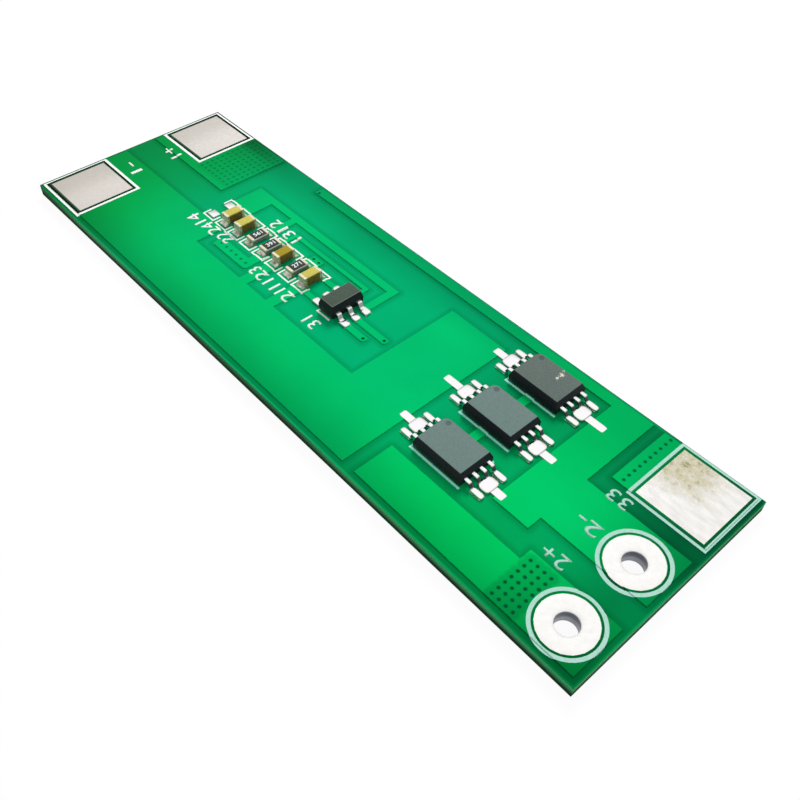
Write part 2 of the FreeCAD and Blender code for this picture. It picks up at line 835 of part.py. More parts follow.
coat_names = ("battery_minus_tinning", "battery_plus_tinning", "battery_middle_tinning")
for name, land in zip(coat_names, square_lands):
    pieces[name] = land.solid(land_top, land_top + tin_thickness)
pieces["output_plus_tinning"] = output_tinning(output_plus)
pieces["output_minus_tinning"] = output_tinning(output_minus)
spare_lands = [land for place in spare_places for land in chip_lands(place)]
pieces["spare_land_tinning"] = layer(spare_lands, land_top, land_top + tin_thickness)

body, frame, die = transistor_pieces()
for index, (x, y) in enumerate(transistors):
    name = "transistor_%d_" % (index + 1)
    placed_frame = moved(frame, x, y)
    pieces[name + "body"] = moved(body, x, y)
    pieces[name + "leads"] = placed_frame
    pieces[name + "die"] = moved(die, x, y)
    pieces[name + "solder"] = transistor_solder(index, placed_frame)

body, frame, die = controller_pieces()
placed_frame = moved(frame, controller_x, controller_y)
pieces["controller_body"] = moved(body, controller_x, controller_y)
pieces["controller_leads"] = placed_frame
pieces["controller_die"] = moved(die, controller_x, controller_y)
pieces["controller_solder"] = controller_solder(placed_frame)

body, caps = capacitor_pieces()
for number, place in enumerate(capacitor_places, 1):
    pieces["capacitor_%d_body" % number] = moved(body, chips_x[place], chip_row_y)
    pieces["capacitor_%d_end_caps" % number] = moved(caps, chips_x[place], chip_row_y)
substrate, coat, wraps = resistor_pieces()
for number, place in enumerate(resistor_places, 1):
    pieces["resistor_%d_substrate" % number] = moved(substrate, chips_x[place], chip_row_y)
    pieces["resistor_%d_overcoat" % number] = moved(coat, chips_x[place], chip_row_y)
    pieces["resistor_%d_end_wraps" % number] = moved(wraps, chips_x[place], chip_row_y)
pieces["chip_solder"] = chip_solder()

for name, shape in pieces.items():
    moved(shape, -board_length / 2, -board_width / 2).exportStep("parts/%s.step" % name)
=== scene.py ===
import json
import math

import bpy
from mathutils import Euler, Matrix, Vector

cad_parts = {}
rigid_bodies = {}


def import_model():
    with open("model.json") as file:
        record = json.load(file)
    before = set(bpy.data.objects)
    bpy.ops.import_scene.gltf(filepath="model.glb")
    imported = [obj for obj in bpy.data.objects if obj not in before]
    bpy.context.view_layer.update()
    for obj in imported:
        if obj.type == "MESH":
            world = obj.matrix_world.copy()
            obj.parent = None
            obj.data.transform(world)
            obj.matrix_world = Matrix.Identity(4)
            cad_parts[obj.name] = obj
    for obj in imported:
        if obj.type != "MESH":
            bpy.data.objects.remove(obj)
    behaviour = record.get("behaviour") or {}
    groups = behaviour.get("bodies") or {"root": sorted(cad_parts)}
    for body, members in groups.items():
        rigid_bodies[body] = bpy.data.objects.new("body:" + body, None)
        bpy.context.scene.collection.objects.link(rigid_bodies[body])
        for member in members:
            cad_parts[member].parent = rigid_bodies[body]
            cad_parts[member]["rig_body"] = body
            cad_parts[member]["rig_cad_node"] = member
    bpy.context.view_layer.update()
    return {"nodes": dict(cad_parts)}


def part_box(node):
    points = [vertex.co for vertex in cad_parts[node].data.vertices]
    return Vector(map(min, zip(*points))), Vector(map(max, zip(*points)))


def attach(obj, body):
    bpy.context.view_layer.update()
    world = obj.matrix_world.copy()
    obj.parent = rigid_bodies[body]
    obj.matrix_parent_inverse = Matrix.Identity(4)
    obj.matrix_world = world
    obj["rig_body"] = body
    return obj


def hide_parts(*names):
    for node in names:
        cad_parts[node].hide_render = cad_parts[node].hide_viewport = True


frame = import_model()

bl_info = {
    "name": "Battery protection board",
    "version": (1, 0, 0),
    "blender": (4, 5, 0),
    "location": "View3D > Sidebar > Board",
    "description": "Dresses the packed battery protection board with lacquer, print, solder and packages",
    "category": "Object",
}

MM = 0.001
# Points closer than this, in metres, are one point
MERGE = 1e-7
BOARD_LOW, BOARD_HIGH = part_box("laminate")
LENGTH_MM = (BOARD_HIGH.x - BOARD_LOW.x) / MM
WIDTH_MM = (BOARD_HIGH.y - BOARD_LOW.y) / MM
# Board places below are in millimetres from the battery end and from the near long edge.
CORNER = Vector((BOARD_LOW.x, BOARD_LOW.y, 0.0))

# Levels above the underside. Print starts flat at its own level and is then laid down.
LAND_LEVEL = 1.03
LACQUER_ON_COPPER = 1.06
SEAT_LEVEL = 1.06
PRINT_LEVEL = 1.3
TRANSISTOR_TOP = 2.09
# How far the lacquer's step stands outside an edge of copper
LACQUER_WALL = 0.03
# A sheet of solder starts this far over its land, and its base lies this far below it
SOLDER_START = 0.03
SOLDER_SINK = 0.004

CHIP_X = [12.62 + 1.64 * place for place in range(8)]
CHIP_Y = 9.4
CAPACITOR_PLACES = (1, 2, 5, 7)
RESISTOR_PLACES = (3, 4, 6)
TRANSISTOR_X = 42.752
TRANSISTOR_Y = (5.88, 10.19, 14.5)
CONTROLLER = (27.78, 9.3)
OUTPUTS = ((55.05, 2.51), (55.05, 8.24))
OUTPUT_RADIUS = 1.82
SQUARE_LANDS = ((3.0, 3.1), (3.0, 14.52), (54.5, 14.6))
SQUARE_HALF = 2.45

# Copper outlines under the upper lacquer: low corner and high corner
COPPER = (
    (0.3, 10.85, 10.35, 17.25),
    (0.3, 0.5, 14.66, 7.95), (0.3, 0.5, 38.6, 5.6), (33.35, 0.5, 38.6, 15.0),
    (20.37, 5.5, 21.27, 8.62), (23.65, 5.5, 24.55, 8.62),
    (12.29, 9.9, 14.59, 13.45), (12.62, 12.85, 29.35, 13.45), (28.75, 10.25, 29.35, 13.15),
    (17.24, 10.18, 17.84, 13.15),
    (19.03, 11.7, 27.65, 12.0), (19.03, 10.18, 19.33, 11.85), (27.35, 9.15, 27.65, 11.85),
    (24.1, 10.05, 26.65, 10.45), (24.1, 8.15, 26.65, 8.55),
    (15.65, 6.475, 19.8, 7.425), (18.98, 6.95, 19.78, 8.62), (22.04, 10.18, 23.17, 11.37),
    (28.91, 8.11, 31.54, 8.59), (28.91, 9.06, 32.69, 9.54),
    (15.65, 16.5, 49.5, 17.25), (46.7, 5.43, 49.5, 17.25), (49.4, 6.54, 57.2, 10.64),
    (50.4, 12.0, 57.2, 17.25),
    (39.75, 0.5, 50.74, 3.55), (50.64, 0.5, 57.2, 4.46),
    (42.3, 5.88, 42.95, 15.48), (40.1, 6.73, 45.4, 6.98), (40.1, 11.04, 45.4, 11.29),
    (40.1, 15.35, 45.4, 15.6),
)

# Areas whose bare copper took tin when the parts were soldered: low corner and high corner
SOLDERED_AREAS = ((11.5, 7.8, 25.6, 11.0), (25.6, 7.4, 30.0, 11.3), (38.0, 3.0, 47.5, 17.0))

# Fields and rows of small holes: first hole, how many each way, pitch each way, depth of the
# spots, share of light the field between them keeps
HOLE_FIELDS = (
    ((6.35, 11.65), (8, 11), (0.52, 0.52), 0.45, 0.9),
    ((51.1, 0.8), (4, 7), (0.52, 0.52), 0.85, 0.75),
    ((51.0, 12.35), (1, 10), (0.52, 0.52), 0.8, 1.0),
    ((16.15, 6.95), (6, 1), (0.63, 0.52), 0.6, 1.0),
    ((22.3, 11.1), (2, 1), (0.6, 0.52), 0.9, 1.0),
    ((31.3, 8.35), (1, 1), (0.52, 0.52), 1.0, 1.0),
    ((32.45, 9.3), (1, 1), (0.52, 0.52), 1.0, 1.0),
    ((15.95, 16.65), (1, 1), (0.52, 0.52), 1.0, 1.0),
)


def board_point(x, y, z=0.0):
    """A board place in millimetres, as a point of the part in metres."""
    return CORNER + Vector((x, y, z)) * MM


# Settings

class BoardLooks(bpy.types.PropertyGroup):
    lacquer_on_copper: bpy.props.FloatVectorProperty(
        name="Lacquer on copper", description="Colour of the lacquer where copper lies under it",
        subtype="COLOR", size=3, min=0.0, max=1.0, default=(0.0, 0.535, 0.13))
    lacquer_on_laminate: bpy.props.FloatVectorProperty(
        name="Lacquer on laminate", description="Colour of the lacquer over bare laminate",
        subtype="COLOR", size=3, min=0.0, max=1.0, default=(0.0, 0.45, 0.135))
    # The darker lacquer colour: painted shade in the upper lacquer's gaps towards the load end, and a
    # random mottle on the underside.
    lacquer_shade_and_mottle: bpy.props.FloatVectorProperty(
        name="Lacquer in gaps", description="Colour of the darkest lacquer over bare laminate",
        subtype="COLOR", size=3, min=0.0, max=1.0, default=(0.0, 0.25, 0.08))
    hole_spot: bpy.props.FloatVectorProperty(
        name="Hole spots", description="Colour of the lacquer sunk into the small holes",
        subtype="COLOR", size=3, min=0.0, max=1.0, default=(0.0, 0.045, 0.022))
    print_height: bpy.props.FloatProperty(
        name="Print thickness", description="How thick the printed ink stands on the lacquer",
        subtype="DISTANCE", unit="LENGTH", min=0.0, default=0.015 * MM)
    number_height: bpy.props.FloatProperty(
        name="Number height", description="Height of the printed numbers",
        subtype="DISTANCE", unit="LENGTH", min=0.0, default=1.0 * MM)
    moulding_round: bpy.props.FloatProperty(
        name="Moulding round", description="Radius on the edges of the moulded packages",
        subtype="DISTANCE", unit="LENGTH", min=0.0, default=0.05 * MM)
    lead_round: bpy.props.FloatProperty(
        name="Lead round", description="Radius on the edges of the leads",
        subtype="DISTANCE", unit="LENGTH", min=0.0, default=0.06 * MM)
    chip_round: bpy.props.FloatProperty(
        name="Chip round", description="Radius on the edges of the chips' ends",
        subtype="DISTANCE", unit="LENGTH", min=0.0, default=0.04 * MM)
    solder_crest: bpy.props.FloatProperty(
        name="Solder crest", description="How high a lead's solder joint rises over its land",
        subtype="DISTANCE", unit="LENGTH", min=0.0, default=0.2 * MM)


def looks():
    return bpy.context.scene.board_looks


# Work by hand, in small steps

def clear_selection():
    if bpy.context.object and bpy.context.object.mode != "OBJECT":
        bpy.ops.object.mode_set(mode="OBJECT")
    bpy.ops.object.select_all(action="DESELECT")


def make_active(piece):
    clear_selection()
    piece.select_set(True)
    bpy.context.view_layer.objects.active = piece


def start_edit(piece):
    """Opens a piece for editing, with all of its mesh selected."""
    make_active(piece)
    bpy.ops.object.mode_set(mode="EDIT")
    bpy.ops.mesh.select_all(action="SELECT")


def end_edit():
    bpy.ops.object.mode_set(mode="OBJECT")


def apply_place():
    """Puts the active piece's place, turn and size into its mesh."""
    bpy.ops.object.transform_apply(location=True, rotation=True, scale=True)


def smooth(degrees):
    bpy.ops.object.shade_smooth_by_angle(angle=math.radians(degrees))


def apply_modifier(piece, kind, **values):
    make_active(piece)
    modifier = piece.modifiers.new(kind.lower(), kind)
    for key, value in values.items():
        setattr(modifier, key, value)
    bpy.ops.object.modifier_apply(modifier=modifier.name)


def round_edges(piece, width, segments=3, angle=20.0):
    apply_modifier(piece, "BEVEL", width=width, segments=segments, limit_method="ANGLE",
                   angle_limit=math.radians(angle), use_clamp_overlap=True)
    make_active(piece)
    smooth(50.0)


def recalculate_faces(piece):
    start_edit(piece)
    bpy.ops.mesh.remove_doubles(threshold=MERGE)
    bpy.ops.mesh.normals_make_consistent(inside=False)
    end_edit()


def add_box(x, y, z, size_x, size_y, size_z):
    """A plain box about a board place."""
    clear_selection()
    bpy.ops.mesh.primitive_cube_add(size=1.0, location=board_point(x, y, z))
    box = bpy.context.active_object
    box.scale = (size_x * MM, size_y * MM, size_z * MM)
    apply_place()
    return box


def close_down_to(piece, level, degrees):
    """Turns an open surface into a closed heap on a flat base."""
    start_edit(piece)
    bpy.ops.mesh.extrude_region_move(TRANSFORM_OT_translate={"value": (0.0, 0.0, 0.0)})
    bpy.ops.transform.resize(value=(1.0, 1.0, 0.0), center_override=board_point(0.0, 0.0, level))
    bpy.ops.mesh.select_all(action="SELECT")
    bpy.ops.mesh.normals_make_consistent(inside=False)
    end_edit()
    smooth(degrees)


def join(pieces):
    clear_selection()
    for piece in pieces:
        piece.select_set(True)
    bpy.context.view_layer.objects.active = pieces[0]
    bpy.ops.object.join()
    return bpy.context.view_layer.objects.active


def copy_of_node(node):
    """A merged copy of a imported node."""
    piece = frame["nodes"][node].copy()
    piece.data = piece.data.copy()
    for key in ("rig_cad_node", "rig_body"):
        if key in piece:
            del piece[key]
    piece.parent = None
    bpy.context.scene.collection.objects.link(piece)
    start_edit(piece)
    bpy.ops.mesh.remove_doubles(threshold=MERGE)
    bpy.ops.mesh.dissolve_limited(angle_limit=math.radians(0.5))
    end_edit()
    return piece


def finish_piece(piece, name, material, node=None):
    """Names a piece, coats it, lets it ride on the part and takes the place of a node."""
    piece.name = name
    piece.data.name = name
    piece.data.materials.clear()
    piece.data.materials.append(bpy.data.materials[material])
    make_active(piece)
    apply_place()
    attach(piece, "root")
    if node:
        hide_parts(node)


# Shader nodes

class Nodes:
    """Adds nodes to a tree and joins them, from left to right."""

    def __init__(self, tree):
        self.tree = tree
        self.count = 0
        self.shader = None

    def add(self, kind, inputs=(), **values):
        node = self.tree.nodes.new(kind)
        node.location = (180.0 * (self.count % 12), -220.0 * (self.count // 12))
        self.count += 1
        for key, value in values.items():
            setattr(node, key, value)
        for socket, value in dict(inputs).items():
            self.feed(node.inputs[socket], value)
        return node

    def feed(self, socket, value):
        if isinstance(value, bpy.types.NodeSocket):
            self.tree.links.new(value, socket)
        elif socket.type == "RGBA" and len(value) == 3:
            socket.default_value = (*value, 1.0)
        else:
            socket.default_value = value

    def math(self, operation, *values):
        inputs = dict(enumerate(values))
        return self.add("ShaderNodeMath", inputs, operation=operation).outputs[0]

    def times(self, value, *factors):
        """The product of all the values."""
        for factor in factors:
            value = self.math("MULTIPLY", value, factor)
        return value

    def spread(self, value, low, high):
        """A share of 0 to 1, spread evenly from low to high."""
        return self.math("MULTIPLY_ADD", value, high - low, low)

    def greatest(self, values):
        result = values[0]
        for value in values[1:]:
            result = self.math("MAXIMUM", result, value)
        return result

    def vector(self, operation, *values):
        inputs = dict(enumerate(values))
        node = self.add("ShaderNodeVectorMath", inputs, operation=operation)
        is_number = operation in ("LENGTH", "DISTANCE")
        return node.outputs["Value" if is_number else "Vector"]

    def split(self, place):
        """A place's X, Y and Z."""
        return self.add("ShaderNodeSeparateXYZ", {0: place}).outputs

    def flat(self, place):
        return self.vector("MULTIPLY", place, (1.0, 1.0, 0.0))

    def ramp(self, value, start, end, low=0.0, high=1.0):
        """A smooth step from low at start to high at end."""
        return self.add("ShaderNodeMapRange",
                        {"Value": value, "From Min": start, "From Max": end,
                         "To Min": low, "To Max": high},
                        interpolation_type="SMOOTHSTEP", clamp=True).outputs["Result"]

    def mix(self, share, first, second, blend="MIX"):
        node = self.add("ShaderNodeMix", data_type="RGBA", blend_type=blend, clamp_factor=True)
        self.feed(node.inputs["Factor"], share)
        self.feed(node.inputs[6], first)
        self.feed(node.inputs[7], second)
        return node.outputs[2]

    def group(self, name, inputs):
        node = self.add("ShaderNodeGroup", node_tree=bpy.data.node_groups[name])
        for socket, value in inputs.items():
            self.feed(node.inputs[socket], value)
        return node.outputs

    def grain(self, place, scale, low=0.0, high=1.0):
        return self.group("grain", {"Place": place, "Scale": scale, "Low": low,
                                    "High": high})["Value"]

    def box_distance(self, place, box):
        """How far a flat place lies outside a box of low corner and high corner."""
        x0, y0, x1, y1 = box
        return self.group("distance to box",
                          {"Place": place, "Middle": ((x0 + x1) / 2, (y0 + y1) / 2, 0.0),
                           "Half size": ((x1 - x0) / 2, (y1 - y0) / 2, 1.0)})["Distance"]

    def surface(self, colour, roughness, metallic=None, relief=None, strength=0.3, depth=0.01):
        """Feeds the shader. Relief becomes a bump of the given strength and depth."""
        sockets = self.shader.inputs
        self.feed(sockets["Base Color"], colour)
        self.feed(sockets["Roughness"], roughness)
        if metallic is not None:
            self.feed(sockets["Metallic"], metallic)
        if relief is not None:
            bump = self.add("ShaderNodeBump", {"Height": relief, "Strength": strength,
                                               "Distance": depth * MM})
            self.feed(sockets["Normal"], bump.outputs["Normal"])


def new_group(name, inputs, outputs):
    group = bpy.data.node_groups.new(name, "ShaderNodeTree")
    for label, kind, default in inputs:
        socket = group.interface.new_socket(label, in_out="INPUT", socket_type=kind)
        if default is not None:
            socket.default_value = default
    for label in outputs:
        group.interface.new_socket(label, in_out="OUTPUT", socket_type="NodeSocketFloat")
    nodes = Nodes(group)
    return nodes, nodes.add("NodeGroupInput").outputs


def make_groups():
    """Effects that more than one material uses."""
    vector, number = "NodeSocketVector", "NodeSocketFloat"
    nodes, inside = new_group(
        "grain", (("Place", vector, None), ("Scale", number, 10.0), ("Low", number, 0.0),
                  ("High", number, 1.0)), ("Value",))
    noise = nodes.add("ShaderNodeTexNoise", {"Vector": inside["Place"], "Scale": inside["Scale"],
                                             "Detail": 3.0, "Roughness": 0.6})
    value = nodes.add("ShaderNodeMapRange", {"Value": noise.outputs["Fac"], "From Min": 0.3,
                                             "From Max": 0.7, "To Min": inside["Low"],
                                             "To Max": inside["High"]}).outputs["Result"]
    nodes.add("NodeGroupOutput", {"Value": value})

    nodes, inside = new_group(
        "distance to box", (("Place", vector, None), ("Middle", vector, None),
                            ("Half size", vector, None)), ("Distance",))
    offset = nodes.vector("ABSOLUTE", nodes.vector("SUBTRACT", inside["Place"], inside["Middle"]))
    past = nodes.vector("SUBTRACT", offset, inside["Half size"])
    out = nodes.vector("LENGTH", nodes.vector("MAXIMUM", past, (0.0, 0.0, 0.0)))
    sides = nodes.split(past)
    within = nodes.math("MINIMUM", nodes.math("MAXIMUM", sides["X"], sides["Y"]), 0.0)
    nodes.add("NodeGroupOutput", {"Distance": nodes.math("ADD", out, within)})

    nodes, inside = new_group(
        "hole field", (("Place", vector, None), ("First", vector, None),
                       ("Last step", vector, None), ("Pitch", vector, None),
                       ("Radius", number, 0.15)), ("Spots", "Field"))
    steps = nodes.vector("DIVIDE", nodes.vector("SUBTRACT", inside["Place"], inside["First"]),
                         inside["Pitch"])
    nearest = nodes.vector("FLOOR", nodes.vector("ADD", steps, (0.5, 0.5, 0.5)))
    nearest = nodes.vector("MINIMUM", nodes.vector("MAXIMUM", nearest, (0.0, 0.0, 0.0)),
                           inside["Last step"])
    off = nodes.vector("LENGTH", nodes.vector("MULTIPLY", nodes.vector("SUBTRACT", steps, nearest),
                                              inside["Pitch"]))
    spots = nodes.ramp(off, nodes.times(inside["Radius"], 0.45),
                       nodes.times(inside["Radius"], 1.15), 1.0, 0.0)
    nodes.add("NodeGroupOutput", {"Spots": spots, "Field": nodes.ramp(off, 0.28, 0.6, 1.0, 0.0)})


def new_material(name, **constants):
    """A material with one Principled shader. Constant values are set on its own sockets."""
    material = bpy.data.materials.new(name)
    material.use_nodes = True
    material.node_tree.nodes.clear()
    nodes = Nodes(material.node_tree)
    nodes.shader = nodes.add("ShaderNodeBsdfPrincipled", constants)
    output = nodes.add("ShaderNodeOutputMaterial", {"Surface": nodes.shader.outputs["BSDF"]})
    output.location = (300.0, 300.0)
    coordinates = nodes.add("ShaderNodeTexCoord").outputs["Object"]
    in_mm = nodes.vector("MULTIPLY_ADD", coordinates, (1000.0, 1000.0, 1000.0),
                         (LENGTH_MM / 2, WIDTH_MM / 2, 0.0))
    return nodes, in_mm


# Materials

def land_distance(nodes, place):
    """How far a place lies outside the nearest square or round land."""
    distance = None
    for x, y in SQUARE_LANDS:
        here = nodes.box_distance(place, (x - SQUARE_HALF, y - SQUARE_HALF,
                                          x + SQUARE_HALF, y + SQUARE_HALF))
        distance = here if distance is None else nodes.math("MINIMUM", distance, here)
    for x, y in OUTPUTS:
        here = nodes.vector("DISTANCE", place, (x, y, 0.0))
        distance = nodes.math("MINIMUM", distance, nodes.math("SUBTRACT", here, OUTPUT_RADIUS))
    return distance


def lacquer_light(nodes, in_mm, x, y, z, distance, over):
    """The light and shade painted into the lacquer's colour over the board: painted shade beside copper,
    towards the ends and round the lands, and painted highlights on its steps and rims.
    """
    open_end = nodes.math("MAXIMUM", nodes.ramp(x, 36.0, 42.0, 1.0, 0.78),
                          nodes.ramp(x, 55.5, 57.2, 0.78, 1.0))
    close = nodes.times(nodes.ramp(distance, 0.1, 0.6, 0.78, 1.0), open_end)
    ends = nodes.times(nodes.ramp(x, -3.0, 18.0, 0.5, 1.0), nodes.ramp(x, 50.0, 58.0, 1.0, 0.42),
                       nodes.ramp(y, -1.5, 4.5, 0.55, 1.0), nodes.ramp(x, 36.0, 42.0, 0.88, 1.0))
    far = nodes.ramp(y, 13.0, 17.5, 1.0, 0.66)
    far_load = nodes.ramp(y, 7.0, 17.8, 1.0, 0.7)
    far = nodes.math("MULTIPLY_ADD", nodes.ramp(x, 36.0, 42.0),
                     nodes.math("SUBTRACT", far_load, far), far)
    wall = nodes.times(nodes.ramp(z, 0.991, 1.0), nodes.ramp(z, 1.059, 1.05),
                       nodes.ramp(distance, -0.01, 0.02))
    lit_rim = nodes.math("MINIMUM", y, nodes.math("SUBTRACT", LENGTH_MM, x))
    dark_rim = nodes.math("MINIMUM", x, nodes.math("SUBTRACT", WIDTH_MM, y))
    crest = nodes.times(nodes.ramp(y, WIDTH_MM - 0.22, WIDTH_MM - 0.14),
                        nodes.ramp(x, 12.0, 28.0, 0.0, 0.65))
    behind = nodes.times(nodes.ramp(y, 15.6, 16.6), nodes.ramp(x, 13.0, 5.0))
    around = land_distance(nodes, nodes.flat(in_mm))
    border = nodes.times(nodes.ramp(around, -0.02, 0.03), nodes.ramp(around, 0.24, 0.19),
                         nodes.ramp(x, 6.0, 50.0, 0.93, 0.5))
    return nodes.times(
        nodes.math("MAXIMUM", close, over), ends, far, nodes.spread(wall, 1.0, 1.9),
        nodes.ramp(lit_rim, 0.16, 0.06, 1.0, 1.5), nodes.ramp(dark_rim, 0.02, 0.09, 0.25, 1.0),
        nodes.math("ADD", crest, 1.0), nodes.spread(behind, 1.0, 0.55),
        nodes.math("SUBTRACT", 1.0, border))


def lacquer_material():
    """Green lacquer: bright over copper, deeper over laminate, with light and shade painted in: painted
    shade darkest close beside copper and in the gaps towards the load end.
    """
    nodes, in_mm = new_material("green lacquer", **{"Specular IOR Level": 0.015, "IOR": 1.5})
    look = looks()
    place = nodes.flat(in_mm)
    wander = nodes.add("ShaderNodeTexNoise", {"Vector": place, "Scale": 3.0, "Detail": 1.0})
    wander = nodes.vector("MULTIPLY_ADD", wander.outputs["Color"], (0.05, 0.05, 0.0),
                          (-0.025, -0.025, 0.0))
    place = nodes.vector("ADD", place, wander)
    distance = None
    for box in COPPER:
        here = nodes.box_distance(place, box)
        distance = here if distance is None else nodes.math("SMOOTH_MIN", distance, here, 0.04)
    x, y, z = nodes.split(in_mm)
    # Painted shade: bare lacquer in the gaps towards the load end takes the darker colour, where the
    # light falls off.
    corner = nodes.times(nodes.ramp(x, 47.0, 53.5), nodes.ramp(y, 6.0, 11.5))
    bare = nodes.mix(corner, look.lacquer_on_laminate, look.lacquer_shade_and_mottle)
    over = nodes.ramp(distance, 0.1, -0.02)
    colour = nodes.mix(over, bare, look.lacquer_on_copper)
    light = lacquer_light(nodes, in_mm, x, y, z, distance, over)
    spots = []
    for first, counts, pitch, depth, kept in HOLE_FIELDS:
        field = nodes.group("hole field", {"Place": place, "First": (*first, 0.0),
                                           "Last step": (counts[0] - 1.0, counts[1] - 1.0, 0.0),
                                           "Pitch": (*pitch, 1.0)})
        spots.append(nodes.times(field["Spots"], depth))
        if kept < 1.0:
            light = nodes.times(light, nodes.spread(field["Field"], 1.0, kept))
    light = nodes.times(light, nodes.grain(place, 0.12, 0.94, 1.05),
                        nodes.grain(place, 9.0, 0.97, 1.03))
    blue = nodes.times(light, nodes.ramp(x, 3.0, 14.0, 0.8, 1.25),
                       nodes.ramp(x, 36.0, 46.0, 1.0, 0.8), nodes.ramp(y, 2.0, 7.5, 0.82, 1.0))
    light = nodes.add("ShaderNodeCombineColor", {0: light, 1: light, 2: blue}).outputs[0]
    tinted = nodes.mix(1.0, colour, light, "MULTIPLY")
    nodes.surface(nodes.mix(nodes.greatest(spots), tinted, look.hole_spot),
                  nodes.grain(place, 4.0, 0.34, 0.44), relief=nodes.grain(in_mm, 2.5),
                  strength=0.12, depth=0.02)


def lower_lacquer_material():
    """The same lacquer on the underside, where the level alone shows the copper."""
    nodes, in_mm = new_material("green lacquer, underside",
                                **{"Specular IOR Level": 0.06, "IOR": 1.5})
    look = looks()
    level = nodes.split(in_mm)["Z"]
    tone = nodes.mix(nodes.ramp(level, 0.07, 0.0), look.lacquer_on_laminate,
                     look.lacquer_on_copper)
    nodes.surface(nodes.mix(nodes.grain(in_mm, 0.3, 0.0, 0.25), tone, look.lacquer_shade_and_mottle),
                  nodes.grain(in_mm, 4.0, 0.34, 0.46))


def laminate_material():
    """Sawn glass-epoxy: green with lines of cut cloth, with painted shade that darkens it towards the
    foot, towards the battery end and over the middle of the run, and a painted highlight near its top
    edge.
    """
    nodes, in_mm = new_material("sawn laminate", **{"Specular IOR Level": 0.04})
    lines = nodes.grain(nodes.vector("MULTIPLY", in_mm, (1.2, 1.2, 22.0)), 1.0)
    along = nodes.split(in_mm)
    x, level = along["X"], along["Z"]
    # Painted light and shade: darker towards the foot, lighter near the top edge.
    body = nodes.mix(nodes.ramp(level, 0.5, 0.95), (0.026, 0.16, 0.058), (0.045, 0.33, 0.125))
    body = nodes.mix(nodes.ramp(level, 0.32, 0.62), (0.002, 0.02, 0.005), body)
    fibre = nodes.mix(nodes.ramp(level, 0.25, 0.95), (0.004, 0.03, 0.01), (0.06, 0.36, 0.15))
    body = nodes.mix(nodes.times(nodes.ramp(lines, 0.5, 0.9), 0.45), body, fibre)
    # Painted shade towards the battery end and over the middle of the run.
    halfway = nodes.times(nodes.ramp(x, 12.0, 20.0), nodes.ramp(x, 40.0, 34.0))
    light = nodes.times(nodes.ramp(x, -1.0, 9.0, 0.25, 1.0), nodes.spread(halfway, 1.0, 0.5))
    nodes.surface(nodes.mix(light, (0.002, 0.02, 0.006), body), nodes.spread(lines, 0.6, 0.8),
                  relief=lines, strength=0.35, depth=0.02)


def chip_joints_material():
    """Uneven solder whose colour follows its bumps: pale on the crests, a painted highlight, and dark
    khaki between them.
    """
    nodes, in_mm = new_material("chip joints")
    # The tone that colours the solder also raises its bumps, so the crests are painted as highlights.
    tone = nodes.grain(in_mm, 3.2)
    nodes.surface(nodes.mix(tone, (0.11, 0.125, 0.05), (0.97, 0.95, 0.84)),
                  nodes.spread(tone, 0.25, 0.4), 0.25, tone, 0.6)


def tinned_copper_material():
    """Copper whose upper faces carry a thin coat of tin where parts are soldered on."""
    nodes, in_mm = new_material("tinned copper")
    tone = nodes.grain(in_mm, 4.0)
    copper = nodes.mix(tone, (0.62, 0.30, 0.18), (0.80, 0.42, 0.26))
    tin = nodes.mix(tone, (0.42, 0.43, 0.38), (0.66, 0.66, 0.60))
    level = nodes.split(in_mm)["Z"]
    place = nodes.flat(in_mm)
    soldered = nodes.greatest([nodes.ramp(nodes.box_distance(place, box), 0.02, 0.0)
                               for box in SOLDERED_AREAS])
    share = nodes.times(soldered, nodes.ramp(level, 1.02, 1.028))
    nodes.surface(nodes.mix(share, copper, tin), nodes.spread(tone, 0.35, 0.5),
                  nodes.spread(share, 1.0, 0.6))


def resistor_coat_material():
    nodes, in_mm = new_material("resistor coat", **{"Specular IOR Level": 0.4})
    fine = nodes.grain(in_mm, 8.0, 0.0, 0.4)
    tone = nodes.math("ADD", nodes.grain(in_mm, 1.2, 0.0, 0.6), fine)
    nodes.surface(nodes.mix(tone, (0.012, 0.012, 0.013), (0.030, 0.032, 0.034)),
                  nodes.spread(fine, 0.3, 0.55), relief=fine, strength=0.2)


